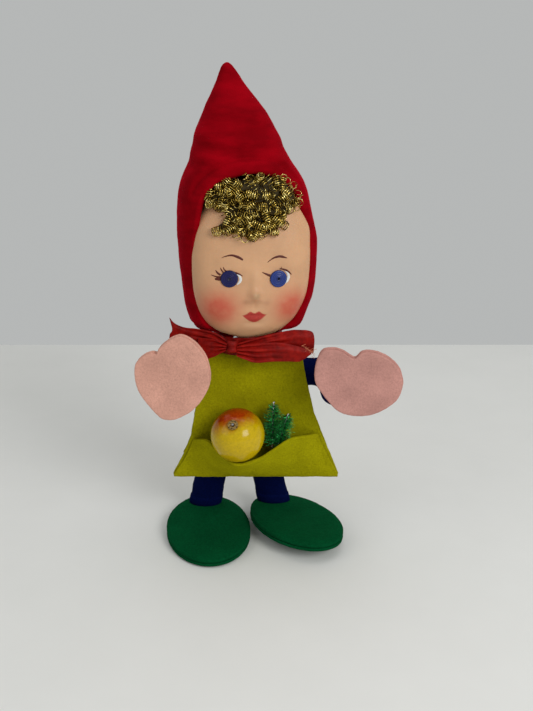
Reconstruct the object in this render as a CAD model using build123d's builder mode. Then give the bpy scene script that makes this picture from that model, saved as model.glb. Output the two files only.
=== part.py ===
from build123d import *
from math import cos, radians, sin
import os

# A felt and wire doll with a pointed hood, standing on two weighted felt shoes.
# Millimetres, +Z up. The doll faces -Y and its own right hand is on the -X side.
# Sketches count x and y from the middle of the tunic and z from the floor. The two offsets
# put the row's origin under the middle of the whole outline.
OFFSET_X = -4.3
OFFSET_Y = 5.5

# ---- driving dimensions ----
HEIGHT = 149.9
FELT = 1.0
WIRE_R = 0.5

COVER = 0.8
TWIST = 0.2
# the least room that is left between two faces
HAIRLINE = 0.02

TRUNK_X = -2.5
TRUNK_TOP = 63.2
TRUNK_WAIST = 46.0
TRUNK_BOTTOM = 35.4
CHEST = (4.2, 3.9)
BELLY = (9.0, 4.9)
BELLY_X = -4.0

NECK_Y = -2.0
NECK_PIVOT_Z = 67.5
NECK_BALL_R = 9.3
NECK_BALL_DROP = 1.0
HEAD_TURN = 8.5

HOOD_WALL = 1.2
HOOD_BOTTOM = 72.5
# height, sideways shift and radius of the hood
HOOD_STATIONS = [
    (HOOD_BOTTOM, -2.6, 13.5),
    (76.0, -2.5, 18.0),
    (83.0, -2.2, 20.0),
    (96.0, -2.2, 20.9),
    (108.6, -3.2, 19.8),
    (120.0, -4.4, 15.8),
    (131.0, -5.6, 11.4),
    (138.5, -6.4, 7.6),
    (145.0, -7.2, 3.9),
    (HEIGHT, -7.9, 1.0),
]

TUNIC_HEM = 21.6
TUNIC_TOP = 64.0
TUNIC_HALF_HEM = 27.1
TUNIC_BACK_HALF_HEM = 24.8
TUNIC_HALF_TOP = 14.3
TUNIC_FRONT_Y = -7.5
TUNIC_BACK_Y = 7.5

ARM_Z = 54.5
SHOULDER_REACH = 8.5
SLEEVE_R = 4.8
SLEEVE_WALL = 0.9
ELBOW_R = 5.5
HAND_FELT = 1.1

LEG_HALF_WIDTH = 5.4
LEG_HALF_DEPTH = 3.7
LEG_WALL = 0.8
HIP_Z = 32.2
HIP_Y = 0.0

SHOE_HALF_WIDTH = 13.8
SHOE_HALF_LENGTH = 21.8
SOLE = 1.1
WEIGHT = 0.9
WEIGHT_INSET = 1.6
SHOE_TOP = 1.3

APPLE_R = 8.5
APPLE_CENTRE = (-5.5, -17.1, 39.7)
RIBBON_WIDTH = 6.2

os.makedirs("parts", exist_ok=True)


def at(x, y, z):
    """A point counted from the middle of the tunic, in the row's frame."""
    return Vector(OFFSET_X + x, OFFSET_Y + y, z)


def floor_plane(z, x=0.0, y=0.0):
    """A level plane that faces up."""
    return Plane(origin=at(x, y, z))


def front_plane(y, x=0.0, z=0.0):
    """An upright plane that faces the front. Its sketches count x and z."""
    return Plane(origin=at(x, y, z), x_dir=(1, 0, 0), z_dir=(0, -1, 0))


def save(builder, name):
    """Label the finished piece and write it as its own STEP file."""
    builder.part.label = name
    export_step(builder.part, f"parts/{name}.step")


def head_plane(forward):
    """An upright plane through the head, turned with it, at a distance before the neck."""
    turn = radians(HEAD_TURN)
    x = TRUNK_X + forward * sin(turn)
    y = NECK_Y - forward * cos(turn)
    return Plane(
        origin=at(x, y, NECK_PIVOT_Z),
        x_dir=(cos(turn), sin(turn), 0),
        z_dir=(sin(turn), -cos(turn), 0),
    )


# ---- trunk: wire spine, wound cotton and felt cover ----
def trunk_solid(grow, mode=Mode.ADD):
    """Slim chest over a wider belly. It joins the piece being built."""
    with BuildSketch(floor_plane(TRUNK_BOTTOM, BELLY_X)) as belly:
        Ellipse(BELLY[0] + grow, BELLY[1] + grow)
    extrude(belly.sketch, amount=TRUNK_WAIST + grow - TRUNK_BOTTOM, mode=mode)
    with BuildSketch(floor_plane(TRUNK_WAIST, TRUNK_X)) as chest:
        Ellipse(CHEST[0] + grow, CHEST[1] + grow)
    extrude(chest.sketch, amount=TRUNK_TOP - TRUNK_WAIST, mode=mode)


CROSS_GAP = 0.9
SHOULDER_WIRE = SHOULDER_REACH - CROSS_GAP
HIP_WIRE_Z = TRUNK_BOTTOM + 3.0
# where the arms and legs leave the trunk: the doll's right side first
SHOULDERS = {"right": TRUNK_X - SHOULDER_REACH, "left": TRUNK_X + SHOULDER_REACH}
HIPS = {"right": -12.4, "left": 0.8}


def rod(start, along, radius, length, mode=Mode.ADD):
    """A straight round rod from a point. It joins the piece being built."""
    with BuildSketch(Plane(origin=start, z_dir=along)) as section:
        Circle(radius)
    extrude(section.sketch, amount=length, mode=mode)


with BuildPart() as spine_wire:
    twist_r = WIRE_R + TWIST
    rod(at(TRUNK_X, 0, HIP_WIRE_Z), (0, 0, 1), twist_r, TRUNK_TOP - HIP_WIRE_Z)
    rod(at(TRUNK_X - SHOULDER_WIRE, 0, ARM_Z), (1, 0, 0), twist_r, 2 * SHOULDER_WIRE)
    rod(at(HIPS["right"], 0, HIP_WIRE_Z), (1, 0, 0), twist_r, HIPS["left"] - HIPS["right"])
    for hip_x in HIPS.values():
        rod(at(hip_x, 0, HIP_Z + CROSS_GAP), (0, 0, 1), twist_r, HIP_WIRE_Z - HIP_Z - CROSS_GAP)
        with Locations(at(hip_x, 0, HIP_WIRE_Z)):
            Sphere(twist_r + HAIRLINE)
save(spine_wire, "spine_wire")

with BuildPart() as torso_padding:
    trunk_solid(0.0)
    add(spine_wire.part, mode=Mode.SUBTRACT)
save(torso_padding, "torso_padding")

with BuildPart() as torso_cover:
    trunk_solid(COVER)
    trunk_solid(HAIRLINE, mode=Mode.SUBTRACT)
    add(spine_wire.part, mode=Mode.SUBTRACT)
save(torso_cover, "torso_cover")


# ---- tunic: front panel folded up into a pocket, and back panel ----
def tunic_panel(back_y, half_hem):
    """A felt panel, wide at the hem, with a half collar that reaches the middle seam."""
    with BuildSketch(front_plane(back_y)) as panel:
        with BuildLine():
            Polyline(
                (-half_hem, TUNIC_HEM),
                (half_hem, TUNIC_HEM),
                (TUNIC_HALF_TOP, TUNIC_TOP),
                (-TUNIC_HALF_TOP, TUNIC_TOP),
                close=True,
            )
        make_face()
    extrude(panel.sketch, amount=FELT)


COLLAR_HALF = 9.8
COLLAR_HOLE = 5.6


def half_collar(far_y):
    """The shoulder strip between a panel and the seam over the shoulders."""
    with BuildSketch(floor_plane(TUNIC_TOP - FELT, TRUNK_X, far_y / 2)) as strip:
        Rectangle(2 * COLLAR_HALF, abs(far_y))
    extrude(strip.sketch, amount=FELT)
    rod(at(TRUNK_X, 0, TUNIC_TOP - 2 * FELT), (0, 0, 1), COLLAR_HOLE, 3 * FELT, mode=Mode.SUBTRACT)


POCKET_BOTTOM = TUNIC_HEM + 0.6
POCKET_SHEET_TOP = 40.0
# the pocket's top edge, from one side seam over the apple's dip to the other
POCKET_EDGE = [
    (-22.0, 35.0),
    (-16.8, 36.6),
    (-11.5, 33.4),
    (-5.4, 31.2),
    (2.0, 33.2),
    (12.5, 37.6),
    (22.0, 37.0),
]
# how far the pocket stands before the panel along its top
POCKET_BULGE = [
    (-24.0, -8.7),
    (-16.0, -14.0),
    (-5.4, -31.5),
    (4.5, -24.0),
    (13.0, -15.0),
    (24.0, -8.7),
]

with BuildPart() as tunic_front:
    fold_y = TUNIC_FRONT_Y - FELT
    with BuildSketch(floor_plane(POCKET_BOTTOM)):
        with BuildLine():
            Polyline(
                (-24.0, fold_y - 0.1),
                (24.0, fold_y - 0.1),
                (24.0, fold_y - 0.1 - FELT),
                (-24.0, fold_y - 0.1 - FELT),
                close=True,
            )
        make_face()
    with BuildSketch(floor_plane(POCKET_SHEET_TOP)):
        with BuildLine():
            inner = Spline(*POCKET_BULGE)
            outer = Spline(*[(x, y - FELT) for x, y in POCKET_BULGE])
            Line(inner @ 0, outer @ 0)
            Line(inner @ 1, outer @ 1)
        make_face()
    loft(ruled=True)
    with BuildSketch(front_plane(0)):
        with BuildLine():
            edge = Spline(*POCKET_EDGE)
            Polyline(
                edge @ 1,
                (TUNIC_HALF_HEM - 1.0, TUNIC_HEM),
                (1.0 - TUNIC_HALF_HEM, TUNIC_HEM),
                edge @ 0,
            )
        make_face()
    extrude(amount=40, mode=Mode.INTERSECT)
    tunic_panel(TUNIC_FRONT_Y, TUNIC_HALF_HEM)
    with BuildSketch(floor_plane(TUNIC_HEM, 0, fold_y - 0.05)):
        Rectangle(2 * (TUNIC_HALF_HEM - 0.4), 2 * FELT + 0.1)
    extrude(amount=FELT)
    half_collar(TUNIC_FRONT_Y)
save(tunic_front, "tunic_front")

with BuildPart() as tunic_back:
    tunic_panel(TUNIC_BACK_Y + FELT, TUNIC_BACK_HALF_HEM)
    half_collar(TUNIC_BACK_Y)
save(tunic_back, "tunic_back")

# ---- pocket contents ----
# the bead's bore leans towards the front, so that its eye shows
EYE_AXIS = Vector(-0.135, -0.71, 0.69).normalized()
apple_at = at(*APPLE_CENTRE)
BORE_R = 1.0
EYE_WALL = 0.35
EYE_DEPTH = 1.5
EYE_FLANGE_R = 1.6
APPLE_WIRE_R = 0.35

with BuildPart() as apple_bead:
    with Locations(apple_at):
        Sphere(APPLE_R)
    bore_start = apple_at - EYE_AXIS * (APPLE_R + 1)
    rod(bore_start, EYE_AXIS, BORE_R, 2 * APPLE_R + 2, mode=Mode.SUBTRACT)
save(apple_bead, "apple_bead")

with BuildPart() as apple_eye:
    with BuildSketch(Plane(origin=apple_at + EYE_AXIS * (APPLE_R - EYE_DEPTH), z_dir=EYE_AXIS)):
        Circle(BORE_R - HAIRLINE)
        Circle(BORE_R - EYE_WALL, mode=Mode.SUBTRACT)
    extrude(amount=EYE_DEPTH)
    with BuildSketch(Plane(origin=apple_at + EYE_AXIS * (APPLE_R - HAIRLINE), z_dir=EYE_AXIS)):
        Circle(EYE_FLANGE_R)
        Circle(BORE_R - EYE_WALL, mode=Mode.SUBTRACT)
    extrude(amount=EYE_WALL)
save(apple_eye, "apple_eye")

with BuildPart() as apple_wire:
    rod(apple_at - EYE_AXIS * (APPLE_R - 1), EYE_AXIS, APPLE_WIRE_R, 2 * APPLE_R - 0.2)
save(apple_wire, "apple_wire")

SPRIG_BASE = (6.1, -13.4, 33.0)
STEM_R = 0.4
with BuildPart() as sprig_stem:
    for shift, stem_length in ((-0.5, 15.6), (0.5, 13.0)):
        stem_at = at(SPRIG_BASE[0] + shift, SPRIG_BASE[1], SPRIG_BASE[2])
        rod(stem_at, (0, 0, 1), STEM_R, stem_length)
    with BuildSketch(floor_plane(SPRIG_BASE[2], SPRIG_BASE[0], SPRIG_BASE[1])):
        Ellipse(0.9, 0.45)
    extrude(amount=6.0)
save(sprig_stem, "sprig_stem")

with BuildPart() as sprig_tinsel:
    with BuildSketch(floor_plane(SPRIG_BASE[2] + 1.0, SPRIG_BASE[0], SPRIG_BASE[1])):
        Ellipse(2.0, 1.6)
    with BuildSketch(floor_plane(SPRIG_BASE[2] + 9.0, SPRIG_BASE[0] + 0.6, SPRIG_BASE[1])):
        Ellipse(3.7, 3.0)
    with BuildSketch(floor_plane(SPRIG_BASE[2] + 14.5, SPRIG_BASE[0] + 0.6, SPRIG_BASE[1])):
        Ellipse(2.4, 1.8)
    loft()
    add(sprig_stem.part, mode=Mode.SUBTRACT)
save(sprig_tinsel, "sprig_tinsel")

# ---- ribbon round the neck ----
RIBBON_Z = 64.3
BAND_IN = 9.9
BAND_OUT = 10.8
with BuildPart() as ribbon_band:
    with BuildSketch(floor_plane(RIBBON_Z, TRUNK_X, NECK_Y)):
        Circle(BAND_OUT)
        Circle(BAND_IN, mode=Mode.SUBTRACT)
    extrude(amount=RIBBON_WIDTH)
save(ribbon_band, "ribbon_band")

BOW_Y = -13.2
KNOT = (-7.0, 67.4)
RIBBON_LAYER = 0.5
with BuildPart() as ribbon_bow:
    with BuildSketch(front_plane(BOW_Y)):
        with BuildLine():
            Polyline(
                (-6.6, 69.6),
                (-14.5, 72.4),
                (-25.7, 76.7),
                (-26.6, 70.2),
                (-14.2, 63.8),
                (-6.6, 66.0),
                close=True,
            )
        make_face()
    extrude(amount=2 * RIBBON_LAYER)
    with BuildSketch(front_plane(BOW_Y)):
        with BuildLine():
            Polyline(
                (-7.4, 69.4),
                (2.0, 70.4),
                (14.9, 72.4),
                (17.9, 70.4),
                (16.6, 63.0),
                (0.0, 62.4),
                (-7.4, 66.2),
                close=True,
            )
        make_face()
    extrude(amount=4 * RIBBON_LAYER)
    with BuildSketch(front_plane(BOW_Y)):
        with Locations(KNOT):
            RectangleRounded(3.4, 4.8, 1.2)
    extrude(amount=2.8)
save(ribbon_bow, "ribbon_bow")

# ---- neck ----
NECK_R = 3.4
NECK_GAP = 0.3
with BuildPart() as neck_wire:
    neck_wire_length = NECK_PIVOT_Z - CROSS_GAP - TRUNK_TOP - NECK_GAP
    rod(at(TRUNK_X, NECK_Y, TRUNK_TOP + NECK_GAP), (0, 0, 1), WIRE_R, neck_wire_length)
save(neck_wire, "neck_wire")

with BuildPart() as neck_padding:
    with BuildSketch(floor_plane(TRUNK_TOP + NECK_GAP, TRUNK_X, NECK_Y)):
        Circle(NECK_R)
        Circle(WIRE_R, mode=Mode.SUBTRACT)
    extrude(amount=NECK_PIVOT_Z - 0.6 - TRUNK_TOP - NECK_GAP)
save(neck_padding, "neck_padding")

# ---- head: wire, stuffing, cloth, mask, eyes, hair and hood ----
CORE_Z = 94.0
CORE_R = 14.8
CORE_HALF_HEIGHT = 19.4
CLOTH = 0.5
HEAD_WIRE_TOP = 90.0


def egg(grow, mode=Mode.ADD):
    """The stuffed head, a body of revolution a little taller than wide."""
    with BuildSketch(front_plane(NECK_Y, TRUNK_X, CORE_Z)) as profile:
        with BuildLine():
            Line((0, CORE_HALF_HEIGHT + grow), (0, -CORE_HALF_HEIGHT - grow))
            EllipticalCenterArc(
                (0, 0), CORE_R + grow, CORE_HALF_HEIGHT + grow, start_angle=-90, arc_size=180
            )
        make_face()
    revolve(profile.sketch, axis=Axis(at(TRUNK_X, NECK_Y, 0), (0, 0, 1)), mode=mode)


with BuildPart() as head_wire:
    head_wire_start = NECK_PIVOT_Z + CROSS_GAP
    rod(at(TRUNK_X, NECK_Y, head_wire_start), (0, 0, 1), WIRE_R, HEAD_WIRE_TOP - head_wire_start)
save(head_wire, "head_wire")

with BuildPart() as head_stuffing:
    egg(0.0)
    add(head_wire.part, mode=Mode.SUBTRACT)
save(head_stuffing, "head_stuffing")

with BuildPart() as head_cloth:
    egg(CLOTH)
    egg(HAIRLINE, mode=Mode.SUBTRACT)
    with BuildSketch(floor_plane(NECK_PIVOT_Z, TRUNK_X, NECK_Y)):
        Circle(2.0)
    extrude(amount=CORE_Z - NECK_PIVOT_Z, mode=Mode.SUBTRACT)
save(head_cloth, "head_cloth")


# half the face's outline from chin to forehead, counted sideways and up from the neck pivot
CHIN = (0, 4.2)
FACE_SIDE = [
    (8.0, 5.8),
    (14.2, 10.8),
    (17.3, 19.0),
    (17.7, 28.0),
    (16.3, 37.5),
    (9.9, 45.5),
]
FOREHEAD = (0, 48.6)
FACE_RIM = 9.6
MASK_WALL = 0.9
MASK_FRONT = 17.4
# the hood's opening against the mask's outline
OPENING_SCALE = 1.05


def face_outline(forward, scale=1.0):
    """A sketch of the mask's outline, scaled about its middle, on a plane of the head."""
    middle = 26.5
    other = [(-x, z) for x, z in reversed(FACE_SIDE)]
    ring = [CHIN, *FACE_SIDE, FOREHEAD, *other]
    with BuildSketch(head_plane(forward)) as outline:
        with BuildLine():
            Spline(*[(x * scale, middle + (z - middle) * scale) for x, z in ring], periodic=True)
        make_face()
    return outline.sketch


def mask_dome(depth, shrink, mode=Mode.ADD):
    """A shallow dome over the face's outline, from the rim forwards."""
    steps = ((0.0, 1.0), (0.45, 0.955), (0.78, 0.84), (0.94, 0.66), (1.0, 0.42))
    sections = [face_outline(FACE_RIM + depth * share, scale * shrink) for share, scale in steps]
    loft(sections, mode=mode)


with BuildPart() as face_mask:
    mask_dome(MASK_FRONT - FACE_RIM, 1.0)
    mask_dome(MASK_FRONT - FACE_RIM - MASK_WALL, 0.945, mode=Mode.SUBTRACT)
save(face_mask, "face_mask")

EYE_R = 2.55
EYE_APART = 7.1
EYE_Z = 22.8
EYE_STAND = 0.05
HAIR_THICK = 2.4
for side, x in (("right", -EYE_APART), ("left", EYE_APART)):
    with BuildPart() as eye_disc:
        with BuildSketch(head_plane(MASK_FRONT + EYE_STAND)):
            with Locations((x, EYE_Z)):
                Circle(EYE_R)
                Circle(0.35, mode=Mode.SUBTRACT)
        extrude(amount=0.7)
    save(eye_disc, f"eye_disc_{side}")

with BuildPart() as hair_tinsel:
    with BuildSketch(head_plane(MASK_FRONT + HAIR_THICK)):
        with Locations((0.3, 42.0)):
            Ellipse(11.5, 5.6)
    extrude(amount=-2 * HAIR_THICK)
    mask_dome(MASK_FRONT - FACE_RIM, 1.02, mode=Mode.SUBTRACT)
save(hair_tinsel, "hair_tinsel")


def hood_loft(shrink, low, mode=Mode.ADD):
    """The round body of the hood, or its hollow when shrunk."""
    sections = []
    for z, x, radius in HOOD_STATIONS:
        if radius > 2 * shrink:
            with BuildSketch(floor_plane(max(z, low), x, NECK_Y)) as section:
                Circle(radius - shrink)
            sections.append(section.sketch)
    loft(sections, mode=mode)


with BuildPart() as hood:
    hood_loft(0.0, HOOD_BOTTOM)
    hood_loft(HOOD_WALL, HOOD_BOTTOM + HOOD_WALL, mode=Mode.SUBTRACT)
    with BuildSketch(front_plane(NECK_Y, TRUNK_X, NECK_PIVOT_Z)):
        with BuildLine():
            reach = HOOD_BOTTOM - NECK_PIVOT_Z + 0.6
            outside = ThreePointArc(
                ((NECK_BALL_R**2 - NECK_BALL_DROP**2) ** 0.5, -NECK_BALL_DROP),
                (NECK_BALL_R, 0),
                ((NECK_BALL_R**2 - reach**2) ** 0.5, reach),
            )
            ball_in = NECK_BALL_R - HOOD_WALL
            inside = ThreePointArc(
                ((ball_in**2 - NECK_BALL_DROP**2) ** 0.5, -NECK_BALL_DROP),
                (ball_in, 0),
                ((ball_in**2 - reach**2) ** 0.5, reach),
            )
            Line(outside @ 0, inside @ 0)
            Line(outside @ 1, inside @ 1)
        make_face()
    revolve(axis=Axis(at(TRUNK_X, NECK_Y, 0), (0, 0, 1)))
    with BuildSketch(floor_plane(HOOD_BOTTOM - 0.5, TRUNK_X, NECK_Y)):
        Circle((ball_in**2 - reach**2) ** 0.5)
    extrude(amount=2.5, mode=Mode.SUBTRACT)
    extrude(face_outline(FACE_RIM - 0.4, OPENING_SCALE), amount=20, mode=Mode.SUBTRACT)
save(hood, "hood")

# height, sideways shift and radius of the wad in the hood's point
STUFFING_STATIONS = [(118.5, -4.2, 13.6), (129.5, -5.4, 9.4), (140.0, -6.6, 3.4)]
with BuildPart() as hood_stuffing:
    for z, x, radius in STUFFING_STATIONS:
        with BuildSketch(floor_plane(z, x, NECK_Y)):
            Circle(radius)
    loft(ruled=True)
save(hood_stuffing, "hood_stuffing")

# ---- arms and hands ----
# forearm's sideways place and the plane between the two layers of the hand
FOREARMS = {"right": (-23.0, -22.5), "left": (24.5, -20.5)}
START_GAP = 0.6


def arm_tube(side, outer, inner, start, front):
    """A bent tube or rod from the shoulder, round the elbow, to the hand's back."""
    sign = -1 if side == "right" else 1
    forearm_x = FOREARMS[side][0]
    bend_x = forearm_x - sign * ELBOW_R
    shoulder = at(SHOULDERS[side] + sign * start, 0, ARM_Z)
    with BuildLine() as route:
        upper = Line(shoulder, at(bend_x, 0, ARM_Z))
        elbow = TangentArc(upper @ 1, at(forearm_x, -ELBOW_R, ARM_Z), tangent=upper % 1)
        Line(elbow @ 1, at(forearm_x, front, ARM_Z))
    with BuildSketch(Plane(origin=shoulder, z_dir=(sign, 0, 0))) as section:
        Circle(outer)
        if inner > 0:
            Circle(inner, mode=Mode.SUBTRACT)
    sweep(section.sketch, path=route.wire())


# the mittens' outlines from the notch round the broad lobe and the thumb lobe
MITTENS = {
    "right": [
        (-29.1, 68.3),
        (-26.1, 72.1),
        (-21.7, 73.9),
        (-17.0, 70.9),
        (-13.4, 60.7),
        (-19.0, 50.2),
        (-25.5, 47.3),
        (-32.0, 52.1),
        (-35.8, 61.9),
        (-33.0, 67.8),
        (-29.1, 68.3),
    ],
    "left": [
        (29.8, 66.3),
        (33.5, 68.4),
        (39.4, 66.5),
        (44.5, 58.2),
        (40.6, 50.8),
        (31.6, 47.7),
        (22.1, 52.6),
        (17.8, 61.6),
        (19.5, 68.2),
        (24.5, 69.0),
        (29.8, 66.3),
    ],
}


def hand_felt(side, back_y):
    """One felt layer of the hand, from a plane at its back towards the front."""
    with BuildSketch(front_plane(back_y)) as mitten:
        with BuildLine():
            Spline(*MITTENS[side])
        make_face()
    extrude(mitten.sketch, amount=HAND_FELT)


LOOP_WIRE_R = 0.45
STUB_SHARE = 0.85
HAND_PRONG = 12.0
# the prong's slope in each hand
LEANS = {"right": 82, "left": 35}


def hand_loop(side, radius, mode=Mode.ADD):
    """The end of the arm's wire: a stub through the back felt and a flat prong."""
    x, middle_y = FOREARMS[side]
    rod(at(x, middle_y + HAND_FELT, ARM_Z), (0, -1, 0), STUB_SHARE * radius, HAND_FELT, mode=mode)
    lean = radians(LEANS[side])
    away = Vector(cos(lean), 0, sin(lean))
    start = at(x, middle_y, ARM_Z) - away * 1.0
    rod(start, away, radius, HAND_PRONG, mode=mode)


for side, (forearm_x, hand_y) in FOREARMS.items():
    sleeve_end = hand_y + HAND_FELT + 0.3
    with BuildPart() as arm_wire:
        arm_tube(side, WIRE_R, 0, CROSS_GAP, sleeve_end)
    save(arm_wire, f"arm_wire_{side}")

    with BuildPart() as arm_padding:
        arm_tube(side, SLEEVE_R - SLEEVE_WALL, WIRE_R, CROSS_GAP, sleeve_end)
    save(arm_padding, f"arm_padding_{side}")

    with BuildPart() as sleeve:
        arm_tube(side, SLEEVE_R, SLEEVE_R - SLEEVE_WALL, START_GAP, sleeve_end)
    save(sleeve, f"sleeve_{side}")

    with BuildPart() as hand_wire:
        hand_loop(side, LOOP_WIRE_R)
    save(hand_wire, f"hand_wire_{side}")

    with BuildPart() as hand_front:
        hand_felt(side, hand_y)
        hand_loop(side, LOOP_WIRE_R, mode=Mode.SUBTRACT)
    save(hand_front, f"hand_front_{side}")

    with BuildPart() as hand_back:
        hand_felt(side, hand_y + HAND_FELT)
        hand_loop(side, LOOP_WIRE_R, mode=Mode.SUBTRACT)
    save(hand_back, f"hand_back_{side}")

# ---- legs and shoes ----
SHOE_THICK = SOLE + WEIGHT + SHOE_TOP
LEG_GAP = 1.0
FOOT_WIRE_R = 0.4
FOOT_PRONG = 20.0
right_shoe = Plane(
    origin=at(-15.9, -8.3, 0), x_dir=(cos(radians(7.5)), sin(radians(7.5)), 0), z_dir=(0, 0, 1)
)
# the left shoe is turned out, and stands on the low edge of its heel
left_level = Plane(
    origin=at(13.2, -7.0, 2.07), x_dir=(cos(radians(22.7)), sin(radians(22.7)), 0), z_dir=(0, 0, 1)
)
left_shoe = left_level.rotated((-6, 2.7, 0))
SHOES = {"right": right_shoe, "left": left_shoe}
# the ankle's place on the shoe, sideways and back from its middle
ANKLES = {"right": (0.2, 15.6), "left": (-1.8, 15.3)}


def shoe_layer(shoe, low, thick, inset=0.0):
    """One oval layer of a shoe."""
    with BuildSketch(shoe.offset(low)) as oval:
        Ellipse(SHOE_HALF_WIDTH - inset, SHOE_HALF_LENGTH - inset)
    extrude(oval.sketch, amount=thick)


def foot_loop(shoe, ankle, radius, mode=Mode.ADD):
    """The end of the leg's wire: a stub through the shoe's top and a flat prong."""
    middle = SOLE + WEIGHT / 2
    stub = shoe.from_local_coords((ankle[0], ankle[1], middle))
    rod(stub, shoe.z_dir, STUB_SHARE * radius, WEIGHT / 2 + SHOE_TOP, mode=mode)
    prong = shoe.from_local_coords((ankle[0], ankle[1] + 1.5, middle))
    rod(prong, -shoe.y_dir, radius, FOOT_PRONG, mode=mode)


def leg_tube(leg, half_width, half_depth, start, end, mode=Mode.ADD):
    """A straight oval tube or rod along the leg. It joins the piece being built."""
    with BuildSketch(leg.offset(start)) as section:
        Ellipse(half_width, half_depth)
    extrude(section.sketch, amount=end - start, mode=mode)


for side, shoe in SHOES.items():
    ankle = ANKLES[side]
    ankle_point = shoe.from_local_coords((ankle[0], ankle[1], SHOE_THICK + LEG_GAP))
    hip_point = at(HIPS[side], HIP_Y, HIP_Z)
    up = (hip_point - ankle_point).normalized()
    length = (hip_point - ankle_point).length
    leg = Plane(origin=ankle_point, x_dir=(1, 0, 0), z_dir=up)
    below = 6.0

    with BuildPart() as leg_cutter:
        with BuildSketch(shoe.offset(SHOE_THICK + LEG_GAP)):
            Rectangle(80, 80)
        extrude(amount=-20)

    with BuildPart() as leg_wire:
        leg_tube(leg, WIRE_R, WIRE_R, 0.2, length - CROSS_GAP)
    save(leg_wire, f"leg_wire_{side}")

    with BuildPart() as leg_padding:
        leg_tube(leg, LEG_HALF_WIDTH - LEG_WALL, LEG_HALF_DEPTH - LEG_WALL, -below, length)
        leg_tube(leg, WIRE_R, WIRE_R, -below, length, mode=Mode.SUBTRACT)
        add(leg_cutter.part, mode=Mode.SUBTRACT)
    save(leg_padding, f"leg_padding_{side}")

    with BuildPart() as trouser_leg:
        leg_tube(leg, LEG_HALF_WIDTH, LEG_HALF_DEPTH, -below, length)
        inner = (LEG_HALF_WIDTH - LEG_WALL, LEG_HALF_DEPTH - LEG_WALL)
        leg_tube(leg, inner[0], inner[1], -below, length, mode=Mode.SUBTRACT)
        add(leg_cutter.part, mode=Mode.SUBTRACT)
    save(trouser_leg, f"trouser_leg_{side}")

    with BuildPart() as foot_wire:
        foot_loop(shoe, ankle, FOOT_WIRE_R)
    save(foot_wire, f"foot_wire_{side}")

    with BuildPart() as shoe_sole:
        shoe_layer(shoe, 0, SOLE)
    save(shoe_sole, f"shoe_sole_{side}")

    with BuildPart() as shoe_weight:
        shoe_layer(shoe, SOLE, WEIGHT, inset=WEIGHT_INSET)
        foot_loop(shoe, ankle, FOOT_WIRE_R, mode=Mode.SUBTRACT)
    save(shoe_weight, f"shoe_weight_{side}")

    with BuildPart() as shoe_upper:
        shoe_layer(shoe, SOLE + WEIGHT, SHOE_TOP)
        foot_loop(shoe, ankle, FOOT_WIRE_R, mode=Mode.SUBTRACT)
    save(shoe_upper, f"shoe_upper_{side}")
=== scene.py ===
import math

import bmesh
import bpy
import numpy as np
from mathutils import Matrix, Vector, noise


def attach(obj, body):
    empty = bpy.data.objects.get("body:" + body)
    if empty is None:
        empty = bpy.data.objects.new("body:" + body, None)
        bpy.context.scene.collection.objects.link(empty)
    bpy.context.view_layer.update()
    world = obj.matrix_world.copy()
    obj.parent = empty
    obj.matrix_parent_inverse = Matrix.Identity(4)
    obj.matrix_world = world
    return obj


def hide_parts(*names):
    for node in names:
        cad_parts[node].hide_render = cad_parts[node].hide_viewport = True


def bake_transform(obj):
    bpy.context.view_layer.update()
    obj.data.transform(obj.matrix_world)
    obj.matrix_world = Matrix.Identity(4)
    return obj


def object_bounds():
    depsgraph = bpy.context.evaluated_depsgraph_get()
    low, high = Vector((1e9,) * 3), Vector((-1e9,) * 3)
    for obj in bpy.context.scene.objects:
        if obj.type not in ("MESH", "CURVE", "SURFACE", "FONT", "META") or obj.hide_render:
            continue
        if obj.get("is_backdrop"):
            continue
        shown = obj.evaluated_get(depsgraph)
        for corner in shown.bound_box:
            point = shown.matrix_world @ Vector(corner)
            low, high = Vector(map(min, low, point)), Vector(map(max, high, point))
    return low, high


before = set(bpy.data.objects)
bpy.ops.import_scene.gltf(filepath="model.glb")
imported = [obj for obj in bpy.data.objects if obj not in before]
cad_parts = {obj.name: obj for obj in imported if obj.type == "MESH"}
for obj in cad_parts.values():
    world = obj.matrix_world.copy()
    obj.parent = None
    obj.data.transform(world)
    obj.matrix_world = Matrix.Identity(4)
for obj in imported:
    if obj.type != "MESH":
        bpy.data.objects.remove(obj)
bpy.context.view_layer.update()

# Shapes are written in millimetres, counted from the middle of the tunic and from the floor.
# The doll faces -Y and its own right hand is on the -X side.
MM = 0.001
OFFSET = np.array([-4.3, 5.5, 0.0])
# the doll's upright axis at the neck
NECK_X, NECK_Y = -2.5, -2.0
draw = np.random.default_rng(11)


# ---- geometry helpers ----
def row(points):
    """Millimetres about the tunic to metres in the row's frame."""
    return (np.asarray(points, float) + OFFSET) * MM


def unit(v):
    v = np.asarray(v, float)
    return v / np.maximum(np.linalg.norm(v, axis=-1, keepdims=True), 1e-9)


def smoothstep(low, high, x):
    t = np.clip((np.asarray(x, float) - low) / (high - low), 0, 1)
    return t * t * (3 - 2 * t)


def bump(x, middle, width):
    """A bell of height 1."""
    return np.exp(-(((np.asarray(x, float) - middle) / width) ** 2))


def noisy(points, scale, seed=0.0):
    """Smooth noise from -1 to 1 at points, with features of a given size in the points' units."""
    shift = Vector((seed * 3.1, seed * 1.7, seed * 2.3))
    points = np.asarray(points, float) / scale
    return np.array([noise.noise(Vector(p) + shift) for p in points])


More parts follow.
